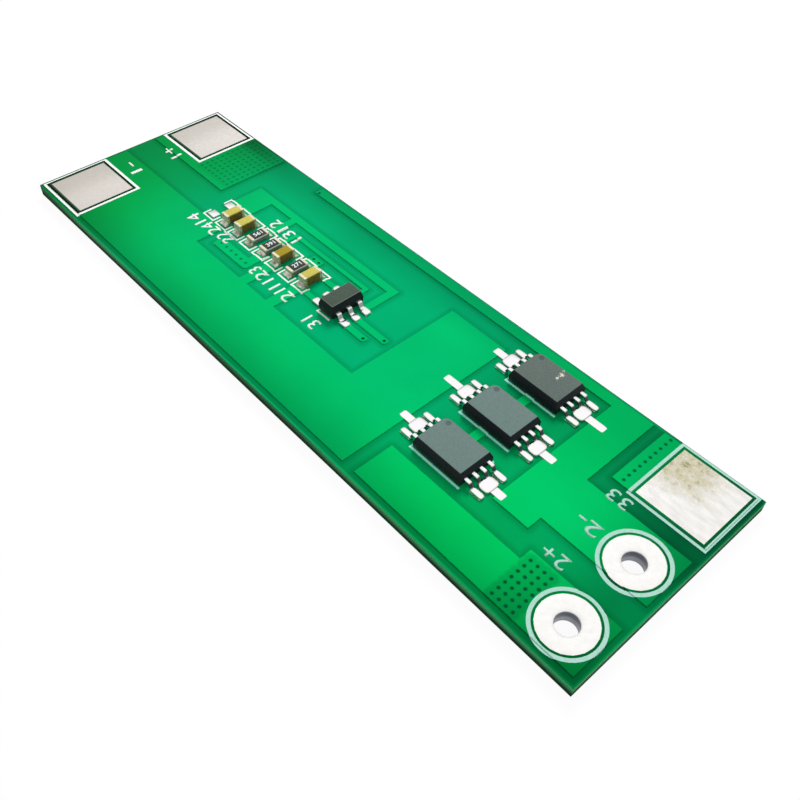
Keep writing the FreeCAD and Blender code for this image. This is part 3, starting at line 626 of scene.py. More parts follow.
def moulding_material():
    """Matt black epoxy with light painted in: upper faces painted lighter than the sides, the far
    transistor's top in painted shade, the dimple's floor darker, a painted highlight along the
    controller's top rim, and a few bright specks of wear.
    """
    nodes, in_mm = new_material("moulded epoxy", **{"Specular IOR Level": 0.2})
    x, y, z = nodes.split(in_mm)
    fine = nodes.grain(in_mm, 14.0)
    # Lit and shaded colours of one epoxy: painted light on the upper faces, painted shade on the sides.
    # The controller's top is darker.
    top = nodes.mix(fine, (0.115, 0.168, 0.158), (0.172, 0.245, 0.23))
    far = nodes.mix(fine, (0.085, 0.11, 0.10), (0.14, 0.18, 0.16))
    small = nodes.mix(fine, (0.038, 0.06, 0.044), (0.082, 0.115, 0.088))
    side = nodes.mix(fine, (0.003, 0.004, 0.006), (0.010, 0.013, 0.018))
    controller = nodes.ramp(x, 34.0, 33.0)
    # Painted shade: the far transistor's top is darker.
    top = nodes.mix(nodes.ramp(y, 12.0, 12.6), top, far)
    top = nodes.mix(controller, top, small)
    level = nodes.math("MULTIPLY_ADD", controller, -0.15, z)
    # The dimple's floor lies below the top's level and so takes part of the sides' painted shade.
    colour = nodes.mix(nodes.ramp(level, 2.062, 2.084), side, top)
    # A painted highlight along the controller's top rim.
    rim = nodes.times(nodes.ramp(level, 2.05, 2.06), nodes.ramp(level, 2.088, 2.08), controller)
    colour = nodes.mix(rim, colour, (0.20, 0.22, 0.19))
    wear_and_shade = nodes.greatest([
        nodes.ramp(nodes.vector("DISTANCE", in_mm, (*spot, TRANSISTOR_TOP)), reach, reach * 0.3)
        for spot, reach in (((43.27, 15.2), 0.33), ((43.29, 14.86), 0.2), ((43.17, 15.62), 0.19))])
    speck = nodes.times(nodes.ramp(nodes.grain(in_mm, 4.5, -0.9, 1.0), 0.2, 0.5), wear_and_shade)
    nodes.surface(nodes.mix(speck, colour, (0.66, 0.67, 0.54)), nodes.spread(fine, 0.5, 0.65),
                  relief=fine, strength=0.35, depth=0.012)


def capacitor_material():
    """Gold-brown ceramic whose sides are painted dark brown in shade below the top. The third of the row
    is more orange.
    """
    nodes, in_mm = new_material("capacitor ceramic", **{"Specular IOR Level": 0.3})
    along = nodes.split(in_mm)
    x, level = along["X"], along["Z"]
    fine = nodes.grain(in_mm, 7.0)
    gold = nodes.mix(fine, (0.46, 0.40, 0.065), (0.63, 0.55, 0.12))
    orange = nodes.mix(fine, (0.27, 0.20, 0.005), (0.38, 0.29, 0.014))
    # Painted shade on the sides below the top.
    side = nodes.mix(fine, (0.085, 0.055, 0.01), (0.19, 0.12, 0.018))
    apart = nodes.math("ABSOLUTE", nodes.math("SUBTRACT", x, CHIP_X[CAPACITOR_PLACES[2]]))
    top = nodes.mix(nodes.ramp(apart, 0.7, 0.6), gold, orange)
    nodes.surface(nodes.mix(nodes.ramp(level, 1.72, 1.81), side, top),
                  nodes.spread(fine, 0.35, 0.55), relief=fine, strength=0.2)


def resistor_ceramic_material():
    """White ceramic, white along its upper edge and painted dark green-grey towards its foot, as shade
    and a green reflection of the board.
    """
    nodes, in_mm = new_material("resistor ceramic", **{"Specular IOR Level": 0.3})
    level = nodes.split(in_mm)["Z"]
    tone = nodes.grain(in_mm, 7.0)
    lit_white = nodes.mix(tone, (0.72, 0.71, 0.66), (0.85, 0.84, 0.80))
    # Painted shade and reflection: the lower sides take a dark green-grey.
    painted_shade_green = nodes.mix(tone, (0.10, 0.13, 0.10), (0.20, 0.24, 0.19))
    nodes.surface(nodes.mix(nodes.ramp(level, 1.33, 1.42), painted_shade_green, lit_white),
                  nodes.spread(tone, 0.5, 0.7), relief=tone, strength=0.2)


def dull_tin_material():
    """Dull tin with a dark border painted just inside its rim and moved towards the near side, for the
    narrow gap at its opening and the shade in it, and with painted shade towards the battery end.
    """
    nodes, in_mm = new_material("dull tin")
    along = nodes.split(in_mm)
    tone = nodes.grain(in_mm, 3.0)
    pale = nodes.mix(tone, (0.66, 0.62, 0.57), (0.76, 0.72, 0.68))
    # Painted shade: duller towards the battery end and the near edge.
    wear_and_shade = nodes.math("ADD", nodes.ramp(along["X"], 4.0, 1.5, 0.0, 0.42),
                      nodes.ramp(along["Y"], 12.0, 5.0, 0.0, 0.18))
    pale = nodes.mix(wear_and_shade, pale, (0.47, 0.435, 0.385))
    # A dark border painted just inside the land, moved towards the near side: the gap at the opening and
    # the shade in it.
    moved = nodes.vector("SUBTRACT", nodes.flat(in_mm), (0.0, 0.05, 0.0))
    border = nodes.ramp(land_distance(nodes, moved), -0.1, -0.06)
    nodes.surface(nodes.mix(border, pale, (0.015, 0.05, 0.03)), nodes.spread(tone, 0.42, 0.6),
                  0.3, tone)


def lead_material():
    """Plated leads: bright where they lie level, painted dark on the steep part between, as shade and a
    dark reflection.
    """
    nodes, in_mm = new_material("lead metal")
    along = nodes.split(in_mm)
    x, level = along["X"], along["Z"]
    tone = nodes.grain(in_mm, 6.0)
    bright = nodes.mix(tone, (0.86, 0.84, 0.86), (0.97, 0.96, 0.97))
    dark = nodes.mix(tone, (0.03, 0.035, 0.04), (0.10, 0.11, 0.12))
    # Painted shade and reflection on the steep part; the controller's leads are painted less dark.
    steep = nodes.times(nodes.ramp(level, 1.57, 1.5), nodes.ramp(level, 1.2, 1.27),
                        nodes.ramp(x, 33.0, 34.0, 0.4, 1.0))
    nodes.surface(nodes.mix(steep, bright, dark), nodes.spread(tone, 0.2, 0.32), 0.8, tone, 0.15)


def end_material():
    """Plated chip ends: cream on top, and painted khaki in shade down the sides."""
    nodes, in_mm = new_material("end metal")
    level = nodes.split(in_mm)["Z"]
    tone = nodes.grain(in_mm, 5.0)
    # Cream where the ends face up, painted khaki shade on the sides.
    tall = nodes.ramp(level, 1.79, 1.84)
    short = nodes.times(nodes.ramp(level, 1.47, 1.505), nodes.ramp(level, 1.53, 1.52))
    cream = nodes.mix(tone, (0.66, 0.62, 0.42), (0.86, 0.83, 0.64))
    khaki = nodes.mix(tone, (0.20, 0.19, 0.09), (0.52, 0.50, 0.32))
    nodes.surface(nodes.mix(nodes.math("MAXIMUM", tall, short), khaki, cream),
                  nodes.spread(tone, 0.25, 0.4), 0.2, tone, depth=0.02)


def ink_material():
    """Printed ink: white at the battery end, thinner and greener towards the load end."""
    nodes, in_mm = new_material("printed ink", **{"Specular IOR Level": 0.3})
    x = nodes.split(in_mm)["X"]
    fine = nodes.grain(in_mm, 8.0)
    white = nodes.mix(fine, (0.84, 0.88, 0.86), (0.93, 0.95, 0.94))
    mint = nodes.mix(fine, (0.37, 0.97, 0.80), (0.46, 1.0, 0.89))
    thin = nodes.mix(fine, (0.33, 0.60, 0.51), (0.44, 0.70, 0.61))
    tone = nodes.mix(nodes.ramp(x, 32.0, 38.0), white, mint)
    nodes.surface(nodes.mix(nodes.ramp(x, 46.0, 50.0), tone, thin), nodes.spread(fine, 0.5, 0.7),
                  relief=fine, strength=0.2)


def old_solder_material():
    """Old solder: bright, with a khaki stain in the quarter away from the load end."""
    nodes, in_mm = new_material("old solder")
    place = nodes.flat(in_mm)
    away = nodes.vector("DISTANCE", place, (52.9, 16.1, 0.0))
    mottle = nodes.grain(place, 1.9)
    streak = nodes.grain(nodes.vector("MULTIPLY", place, (0.5, 1.6, 1.0)), 1.4)
    cloud = nodes.grain(place, 0.8, -0.8, 0.8)
    stain = nodes.times(nodes.ramp(nodes.math("SUBTRACT", away, cloud), 3.1, 0.8),
                        nodes.spread(mottle, 0.5, 1.05))
    plain = nodes.mix(streak, (0.74, 0.72, 0.69), (0.90, 0.88, 0.86))
    dark = nodes.mix(nodes.ramp(mottle, 0.6, 0.95), (0.56, 0.52, 0.31), (0.33, 0.29, 0.17))
    lumps = nodes.times(mottle, nodes.ramp(away, 3.6, 1.0, 0.15, 1.0))
    nodes.surface(nodes.mix(stain, plain, dark), nodes.spread(mottle, 0.28, 0.48),
                  nodes.spread(stain, 0.4, 0.3), lumps, 0.8, 0.12)


def bright_tin_material():
    """Bright tin that falls into shade down the wall of a hole."""
    nodes, in_mm = new_material("bright tin")
    level = nodes.split(in_mm)["Z"]
    tone = nodes.grain(in_mm, 2.5)
    bright = nodes.mix(tone, (0.84, 0.83, 0.81), (0.93, 0.92, 0.90))
    deep = nodes.mix(tone, (0.05, 0.055, 0.08), (0.09, 0.10, 0.13))
    deep = nodes.mix(nodes.ramp(level, 0.65, 0.3), deep, (0.32, 0.33, 0.38))
    nodes.surface(nodes.mix(nodes.ramp(level, 0.9, 1.04), deep, bright),
                  nodes.spread(tone, 0.3, 0.45), 0.35, tone)


def make_materials():
    make_groups()
    for make in (lacquer_material, lower_lacquer_material, laminate_material,
                 old_solder_material, bright_tin_material, dull_tin_material,
                 chip_joints_material, tinned_copper_material, moulding_material, lead_material,
                 capacitor_material, resistor_ceramic_material, resistor_coat_material,
                 end_material, ink_material):
        make()


# Copper, solder and silicon are the frame's own plain materials. The others are made above.
NODE_MATERIALS = {
    "laminate": "sawn laminate", "top_copper": "tinned copper", "bottom_copper": "copper",
    "top_mask": "green lacquer", "bottom_mask": "green lacquer, underside",
    "legend": "printed ink", "battery_minus_tinning": "dull tin",
    "battery_plus_tinning": "dull tin", "battery_middle_tinning": "old solder",
    "output_plus_tinning": "bright tin", "output_minus_tinning": "bright tin",
    "spare_land_tinning": "solder",
}
ENDING_MATERIALS = (
    ("solder", "solder"), ("leads", "lead metal"), ("die", "silicon"),
    ("end_caps", "end metal"), ("end_wraps", "end metal"),
    ("substrate", "resistor ceramic"), ("overcoat", "resistor coat"),
)


def material_for(node):
    if node in NODE_MATERIALS:
        return NODE_MATERIALS[node]
    for ending, material in ENDING_MATERIALS:
        if node.endswith(ending):
            return material
    return "capacitor ceramic" if node.startswith("capacitor") else "moulded epoxy"


class BOARD_OT_dress_nodes(bpy.types.Operator):
    """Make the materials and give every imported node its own"""
    bl_idname = "board.dress_nodes"
    bl_label = "Dress the packed nodes"

    def execute(self, context):
        make_materials()
        for node, piece in frame["nodes"].items():
            piece.data.materials.clear()
            piece.data.materials.append(bpy.data.materials[material_for(node)])
        return {"FINISHED"}


# Print

FRAME_GAP = 0.19
FRAME_LINE = 0.22
RING_INNER = 1.97
RING_OUTER = 2.22
# Brackets at a chip's ends
BRACKET_OUT = 1.4
BRACKET_HALF = 0.71
BRACKET_DEPTH = 0.78
BRACKET_LINE = 0.13
# A line beside a package: its two ends along x, its outer and inner edge, how far its turned
# end reaches, and its line
TRANSISTOR_LINE = (-2.3, 2.1, 1.57, 1.41, 1.2, 0.16)
CONTROLLER_LINE = (-0.9, 0.5, 1.6, 1.46, 1.25, 0.14)
# Numbers and signs: text, low x, low y, width along x
NUMBERS = (
    ("1+", 2.1, 10.25, 1.75), ("1-", 2.0, 6.5, 1.7),
    ("14", 11.6, 6.65, 1.4), ("24", 13.3, 6.85, 1.5), ("22", 15.0, 7.05, 1.45),
    ("12", 16.5, 11.0, 1.45), ("13", 18.25, 11.0, 1.45),
    ("23", 20.1, 6.5, 1.5), ("11", 21.95, 6.5, 1.0), ("21", 23.4, 6.5, 1.35),
    ("31", 27.0, 6.2, 1.2),
    ("33", 50.95, 10.5, 1.55), ("2-", 50.9, 7.65, 1.65), ("2+", 51.0, 4.65, 1.7),
)
NUMBER_BOLD = 0.006
CODE_BOLD = 0.012
# Distance on each side of a step at which print is cut
STEP_CUT = 0.004


def step_lines(low, high, axis):
    """Places between low and high where the lacquer steps down from copper to laminate."""
    lines = set()
    for box in COPPER:
        for edge in (box[axis] - LACQUER_WALL, box[axis + 2] + LACQUER_WALL):
            lines.update(round(edge + side, 4) for side in (-STEP_CUT, STEP_CUT))
    return sorted(line for line in lines if low < line < high)


def drape(piece):
    """Cuts a flat piece at each step, lays it on the lacquer and gives it the ink's height."""
    places = [(vertex.co - CORNER) / MM for vertex in piece.data.vertices]
    start_edit(piece)
    for axis, normal in ((0, (1.0, 0.0, 0.0)), (1, (0.0, 1.0, 0.0))):
        low = min(place[axis] for place in places)
        high = max(place[axis] for place in places)
        for line in step_lines(low, high, axis):
            bpy.ops.mesh.select_all(action="SELECT")
            bpy.ops.mesh.bisect(plane_co=board_point(line, line), plane_no=normal,
                                threshold=MERGE)
    end_edit()
    apply_modifier(piece, "SHRINKWRAP", target=frame["nodes"]["top_mask"], wrap_method="PROJECT",
                   use_project_x=False, use_project_y=False, use_project_z=True,
                   use_negative_direction=True, use_positive_direction=False)
    apply_modifier(piece, "SOLIDIFY", thickness=looks().print_height, offset=1.0,
                   use_even_offset=False)
    recalculate_faces(piece)


def print_bar(x0, y0, x1, y1):
    """A flat printed bar."""
    clear_selection()
    middle = board_point((x0 + x1) / 2, (y0 + y1) / 2, PRINT_LEVEL)
    bpy.ops.mesh.primitive_plane_add(size=1.0, location=middle)
    bar = bpy.context.active_object
    bar.scale = (abs(x1 - x0) * MM, abs(y1 - y0) * MM, 1.0)
    apply_place()
    return bar


def print_frame(x, y, half, line):
    return [print_bar(x - half, y - half, x + half, y - half + line),
            print_bar(x - half, y + half - line, x + half, y + half),
            print_bar(x - half, y - half + line, x - half + line, y + half - line),
            print_bar(x + half - line, y - half + line, x + half, y + half - line)]


def print_ring(x, y, inner, outer):
    """A flat round band: a disc, inset, with its middle taken out."""
    clear_selection()
    bpy.ops.mesh.primitive_circle_add(vertices=96, radius=outer * MM, fill_type="NGON",
                                      location=board_point(x, y, PRINT_LEVEL))
    ring = bpy.context.active_object
    start_edit(ring)
    bpy.ops.mesh.inset(thickness=(outer - inner) * MM, use_even_offset=False)
    bpy.ops.mesh.delete(type="FACE")
    end_edit()
    apply_place()
    return ring


def print_bracket(x, y, side):
    """A line across with two ends that turn back towards the middle."""
    inner = y - side * BRACKET_DEPTH
    across = y - side * BRACKET_LINE
    left, right = x - BRACKET_HALF, x + BRACKET_HALF
    return [print_bar(left, y, right, across),
            print_bar(left, across, left + BRACKET_LINE, inner),
            print_bar(right - BRACKET_LINE, across, right, inner)]


def print_side_lines(x, y, start, end, outer, inner, turn, line):
    """A line on each long side of a package, with one end turned back towards it."""
    bars = []
    for side in (-1, 1):
        bars.append(print_bar(x + start, y + side * outer, x + end, y + side * inner))
        bars.append(print_bar(x + start, y + side * inner, x + start + line, y + side * turn))
    return bars


class BOARD_OT_print_outlines(bpy.types.Operator):
    """Print the frames round the square lands, the rings, and the chip and package marks"""
    bl_idname = "board.print_outlines"
    bl_label = "Print the outlines"

    def execute(self, context):
        half = SQUARE_HALF + FRAME_GAP + FRAME_LINE
        frames = [bar for x, y in SQUARE_LANDS for bar in print_frame(x, y, half, FRAME_LINE)]
        rings = [print_ring(x, y, RING_INNER, RING_OUTER) for x, y in OUTPUTS]
        brackets = [bar for x in CHIP_X for side in (-1, 1)
                    for bar in print_bracket(x, CHIP_Y + side * BRACKET_OUT, side)]
        outlines = [bar for y in TRANSISTOR_Y
                    for bar in print_side_lines(TRANSISTOR_X, y, *TRANSISTOR_LINE)]
        outlines += print_side_lines(*CONTROLLER, *CONTROLLER_LINE)
        for name, bars, node in (("printed_frames", frames, "legend"),
                                 ("printed_rings", rings, None),
                                 ("printed_chip_brackets", brackets, None),
                                 ("printed_package_outlines", outlines, None)):
            piece = join(bars)
            drape(piece)
            finish_piece(piece, name, "printed ink", node)
        return {"FINISHED"}


def flat_figure(text, width, height, bold):
    """Figures as a flat mesh of the given size about the origin."""
    clear_selection()
    bpy.ops.object.text_add(location=(0.0, 0.0, 0.0))
    figure = bpy.context.active_object
    figure.data.body = text
    figure.data.size = 1.4 * height * MM
    figure.data.offset = bold * MM
    figure.data.resolution_u = 5
    bpy.ops.object.convert(target="MESH")
    figure = bpy.context.active_object
    corners = [vertex.co for vertex in figure.data.vertices]
    low = Vector((min(c.x for c in corners), min(c.y for c in corners), 0.0))
    high = Vector((max(c.x for c in corners), max(c.y for c in corners), 0.0))
    start_edit(figure)
    bpy.ops.transform.translate(value=-(low + high) / 2)
    bpy.ops.mesh.remove_doubles(threshold=MERGE)
    bpy.ops.mesh.quads_convert_to_tris()
    end_edit()
    figure.scale = (width * MM / (high.x - low.x), height * MM / (high.y - low.y), 1.0)
    return figure


def place_figure(figure, x, y, z, turn):
    figure.rotation_euler = Euler((0.0, 0.0, turn))
    figure.location = board_point(x, y, z)
    make_active(figure)
    apply_place()


class BOARD_OT_print_numbers(bpy.types.Operator):
    """Print the plain numbers and polarity signs beside the lands and chips"""
    bl_idname = "board.print_numbers"
    bl_label = "Print the numbers"

    def execute(self, context):
        height = looks().number_height / MM
        figures = []
        for text, x, y, width in NUMBERS:
            figure = flat_figure(text, width, height, NUMBER_BOLD)
            place_figure(figure, x + width / 2, y + height / 2, PRINT_LEVEL, math.pi)
            figures.append(figure)
        piece = join(figures)
        drape(piece)
        finish_piece(piece, "printed_numbers", "printed ink")
        return {"FINISHED"}


# Moulded packages

# Length, width and height, how far the upper and the lower face are drawn in, cut corner
TRANSISTOR_BODY = (4.2, 2.9, 0.95, 0.2, 0.02, 0.42)
CONTROLLER_BODY = (1.6, 2.9, 1.1, 0.15, 0.05, 0.0)
BODY_CLEARANCE = 0.08
CORNER_STEPS = 4
# Place from the middle of the package, radius and depth
DIMPLE = (-1.4, 0.94, 0.19, 0.015)


def moulded_package(x, y, length, width, height, draft, low_draft, cut):
    """A box with a parting plane, faces drawn in, one soft corner and rounded edges."""
    level = SEAT_LEVEL + BODY_CLEARANCE + height / 2
    middle = board_point(x, y, level)
    body = add_box(x, y, level, length, width, height)
    start_edit(body)
    bpy.ops.mesh.bisect(plane_co=middle, plane_no=(0.0, 0.0, 1.0), threshold=MERGE)
    bpy.ops.mesh.select_all(action="DESELECT")
    end_edit()
    for side, inset in ((-1, low_draft), (1, draft)):
        for face in body.data.polygons:
            face.select = face.normal.z * side > 0.9
        bpy.ops.object.mode_set(mode="EDIT")
        bpy.ops.transform.resize(value=(1 - 2 * inset / length, 1 - 2 * inset / width, 1.0),
                                 center_override=middle)
        bpy.ops.mesh.select_all(action="DESELECT")
        end_edit()
    if cut:
        for edge in body.data.edges:
            first, second = (body.data.vertices[v].co - middle for v in edge.vertices)
            corner = min(-first.x, first.y, -second.x, second.y) > 0
            edge.select = corner and abs(first.z - second.z) > 0.1 * MM
        bpy.ops.object.mode_set(mode="EDIT")
        bpy.ops.mesh.bevel(offset=cut * MM, segments=CORNER_STEPS, offset_type="OFFSET")
        end_edit()
    round_edges(body, looks().moulding_round)
    return body


def press_dimple(body, x, y, radius, depth):
    """A shallow round mark pressed into the upper face."""
    clear_selection()
    bpy.ops.mesh.primitive_cylinder_add(vertices=40, radius=radius * MM, depth=2 * depth * MM,
                                        location=board_point(x, y, TRANSISTOR_TOP))
    punch = bpy.context.active_object
    apply_modifier(body, "BOOLEAN", object=punch, operation="DIFFERENCE", solver="EXACT")
    bpy.data.objects.remove(punch)
    make_active(body)
    smooth(40.0)


class BOARD_OT_mould_packages(bpy.types.Operator):
    """Mould the three power transistors and the controller"""
    bl_idname = "board.mould_packages"
    bl_label = "Mould the packages"

    def execute(self, context):
        right, up, radius, depth = DIMPLE
        for number, y in enumerate(TRANSISTOR_Y, 1):
            body = moulded_package(TRANSISTOR_X, y, *TRANSISTOR_BODY)
            press_dimple(body, TRANSISTOR_X + right, y + up, radius, depth)
            finish_piece(body, "transistor_%d_moulding" % number, "moulded epoxy",
                         "transistor_%d_body" % number)
        body = moulded_package(*CONTROLLER, *CONTROLLER_BODY)
        finish_piece(body, "controller_moulding", "moulded epoxy", "controller_body")
        return {"FINISHED"}


LEAD_THICKNESS = 0.15
TRANSISTOR_ROWS = [0.65 * (row - 1.5) for row in range(4)]
TRANSISTOR_LEAD = 0.27
CONTROLLER_ROWS = (-0.95, 0.0, 0.95)
CONTROLLER_LEAD = 0.38
# Centre lines of the leads: distance from the middle of the package, level
TRANSISTOR_PATH = ((1.75, 1.54), (2.0, 1.54), (2.46, 1.54), (2.68, 1.15), (3.26, 1.135))
CONTROLLER_PATH = ((0.55, 1.54), (0.7, 1.54), (0.97, 1.54), (1.12, 1.15), (1.44, 1.135))


def gull_wing(x, y, side, path, width):
    """A flat strip drawn out along its path, thickened, with rounded edges and bends."""
    clear_selection()
    bpy.ops.mesh.primitive_plane_add(size=1.0)
    strip = bpy.context.active_object
    (start, level), (end, _) = path[:2]
    strip.scale = ((end - start) * MM, width * MM, 1.0)
    strip.location = Vector(((start + end) / 2, 0.0, level)) * MM
    apply_place()
    for vertex in strip.data.vertices:
        vertex.select = vertex.co.x > (start + end) / 2 * MM
    for edge in strip.data.edges:
        edge.select = all(strip.data.vertices[v].select for v in edge.vertices)
    for face in strip.data.polygons:
        face.select = False
    bpy.ops.object.mode_set(mode="EDIT")
    for (near, near_level), (far, far_level) in zip(path[1:], path[2:]):
        step = ((far - near) * MM, 0.0, (far_level - near_level) * MM)
        bpy.ops.mesh.extrude_region_move(TRANSFORM_OT_translate={"value": step})
    bpy.ops.mesh.select_all(action="SELECT")
    bpy.ops.mesh.normals_make_consistent(inside=False)
    end_edit()
    apply_modifier(strip, "SOLIDIFY", thickness=LEAD_THICKNESS * MM, offset=0.0,
                   use_even_offset=True)
    recalculate_faces(strip)
    round_edges(strip, looks().lead_round)
    strip.rotation_euler = Euler((0.0, 0.0, 0.0 if side > 0 else math.pi))
    strip.location = board_point(x, y)
    make_active(strip)
    apply_place()
    return strip


class BOARD_OT_form_leads(bpy.types.Operator):
    """Draw out the gull-wing leads of every package"""
    bl_idname = "board.form_leads"
    bl_label = "Form the leads"

    def execute(self, context):
        jobs = [("transistor_%d" % number, TRANSISTOR_X, y, TRANSISTOR_ROWS, TRANSISTOR_PATH,
                 TRANSISTOR_LEAD) for number, y in enumerate(TRANSISTOR_Y, 1)]
        jobs.append(("controller", *CONTROLLER, CONTROLLER_ROWS, CONTROLLER_PATH,
                     CONTROLLER_LEAD))
        for package, x, y, rows, path, width in jobs:
            leads = join([gull_wing(x, y + row, side, path, width)
                          for side in (-1, 1) for row in rows])
            finish_piece(leads, package + "_formed_leads", "lead metal",
                         package + "_leads")
        return {"FINISHED"}


# Solder

# Nearest and farthest reach of a foot's solder from the middle of the package, half its width
TRANSISTOR_FOOT = (2.64, 3.56, 0.185)
CONTROLLER_FOOT = (1.13, 1.88, 0.25)
CONTROLLER_CREST = 0.85
MIDDLE_PAD_HALF = 0.5
MIDDLE_PAD_CREST = 1.1
# How much longer, wider and higher a cushion starts, since smoothing draws it in
CUSHION_START = (1.14, 1.2, 2.2)
# The strip beyond the middle pads: where it starts, where its length counts from, half its
# width, its height, and its length at each transistor on the two sides
STRIP_START = 3.35
STRIP_BASE = 3.55
STRIP_HALF = 0.24
STRIP_CREST = 0.055
STRIPS = ((1.0, 0.8), (1.4, 0.95), (1.0, 1.35))


def solder_pillow(x0, x1, y, half, crest, softness=1):
    """A rounded cushion of solder, cut off flat at the level of its land."""
    longer, wider, higher = CUSHION_START
    pillow = add_box((x0 + x1) / 2, y, LAND_LEVEL, longer * abs(x1 - x0), wider * 2 * half,
                     higher * crest)
    apply_modifier(pillow, "SUBSURF", subdivision_type="SIMPLE", levels=softness,
                   render_levels=softness)
    apply_modifier(pillow, "SUBSURF", levels=3, render_levels=3)
    start_edit(pillow)
    bpy.ops.mesh.bisect(plane_co=board_point(0.0, 0.0, LAND_LEVEL - SOLDER_SINK),
                        plane_no=(0.0, 0.0, 1.0), threshold=MERGE, use_fill=True,
                        clear_inner=True)
    bpy.ops.mesh.select_all(action="SELECT")
    bpy.ops.mesh.normals_make_consistent(inside=False)
    end_edit()
    smooth(50.0)
    return pillow


class BOARD_OT_solder_packages(bpy.types.Operator):
    """Heap solder round the foot of every lead"""
    bl_idname = "board.solder_packages"
    bl_label = "Solder the packages"

    def execute(self, context):
        crest = looks().solder_crest / MM
        near, far, half = TRANSISTOR_FOOT
        for number, (y, strips) in enumerate(zip(TRANSISTOR_Y, STRIPS), 1):
            heaps = []
            for side, strip in zip((-1, 1), strips):
                x0, x1 = TRANSISTOR_X + side * near, TRANSISTOR_X + side * far
                for row in (TRANSISTOR_ROWS[0], TRANSISTOR_ROWS[-1]):
                    heaps.append(solder_pillow(x0, x1, y + row, half, crest))
                heaps.append(solder_pillow(x0, x1, y, MIDDLE_PAD_HALF, crest * MIDDLE_PAD_CREST))
                x0 = TRANSISTOR_X + side * STRIP_START
                x1 = TRANSISTOR_X + side * (STRIP_BASE + strip)
                heaps.append(solder_pillow(x0, x1, y, STRIP_HALF, STRIP_CREST, 2))
            finish_piece(join(heaps), "transistor_%d_joints" % number, "solder",
                         "transistor_%d_solder" % number)
        x, y = CONTROLLER
        near, far, half = CONTROLLER_FOOT
        crest *= CONTROLLER_CREST
        heaps = [solder_pillow(x + side * near, x + side * far, y + row, half, crest)
                 for side in (-1, 1) for row in CONTROLLER_ROWS]
        finish_piece(join(heaps), "controller_joints", "solder", "controller_solder")
        return {"FINISHED"}


# Chips

# Bodies: level over the seat, length, width and height
CAPACITOR_BLOCK = (0.02, 1.2, 0.76, 0.765)
RESISTOR_COAT = (0.36, 1.16, 0.77, 0.115)
# Ends: how far out they lie, length, width and height
CAPACITOR_END = (0.685, 0.23, 0.79, 0.79)
RESISTOR_END = (0.68, 0.24, 0.79, 0.455)
# Solder at the ends: nearest and farthest reach, half its width, its height at each kind of
# chip, how hollow its slope is, and where and how far it drops to its rim
FILLET_NEAR = 0.78
FILLET_FAR = 1.09
FILLET_HALF = 0.38
CAPACITOR_FILLET = 0.3
RESISTOR_FILLET = 0.2
FILLET_HOLLOW = 2.2
FILLET_RIM = 0.8
FILLET_DROP = 0.025
# Codes of plain numbers: text, width, height, level over the seat and thickness of the ink
RESISTOR_CODES = ("561", "391", "271")
CODE_WIDTH = 0.74
CODE_HEIGHT = 0.42
CODE_LEVEL = 0.476
CODE_INK = 0.008


def block(x, y, low, length, width, height, radius):
    """A box with its long side across the board and soft edges."""
    piece = add_box(x, y, low + height / 2, width, length, height)
    round_edges(piece, radius)
    return piece


def chip_body(x, size, radius):
    rise, *sides = size
    return block(x, CHIP_Y, SEAT_LEVEL + rise, *sides, radius)


def chip_ends(x, size, radius):
    out, *sides = size
    return join([block(x, CHIP_Y + side * out, SEAT_LEVEL, *sides, radius)
                 for side in (-1, 1)])


def chip_fillet(x, y, side, height):
    """Solder drawn up a chip's end face in a hollow slope, down to the land's toe."""
    clear_selection()
    near, far = y + side * FILLET_NEAR, y + side * FILLET_FAR
    bpy.ops.mesh.primitive_grid_add(x_subdivisions=12, y_subdivisions=10, size=1.0)
    slope = bpy.context.active_object
    slope.scale = (2 * FILLET_HALF * MM, (far - near) * MM * side, 1.0)
    slope.location = board_point(x, (near + far) / 2, LAND_LEVEL + SOLDER_START)
    apply_place()
    for vertex in slope.data.vertices:
        place = (vertex.co - CORNER) / MM
        down = min(1.0, max(0.0, (place.y - near) / (far - near)))
        across = abs(place.x - x) / FILLET_HALF
        rise = height * (1.0 - down) ** FILLET_HOLLOW * (1.0 - 0.35 * across ** 3)
        for reach in (down, across):
            rise -= FILLET_DROP * max(0.0, (reach - FILLET_RIM) / (1.0 - FILLET_RIM)) ** 2
        vertex.co.z += rise * MM
    close_down_to(slope, LAND_LEVEL - SOLDER_SINK, 50.0)
    return slope


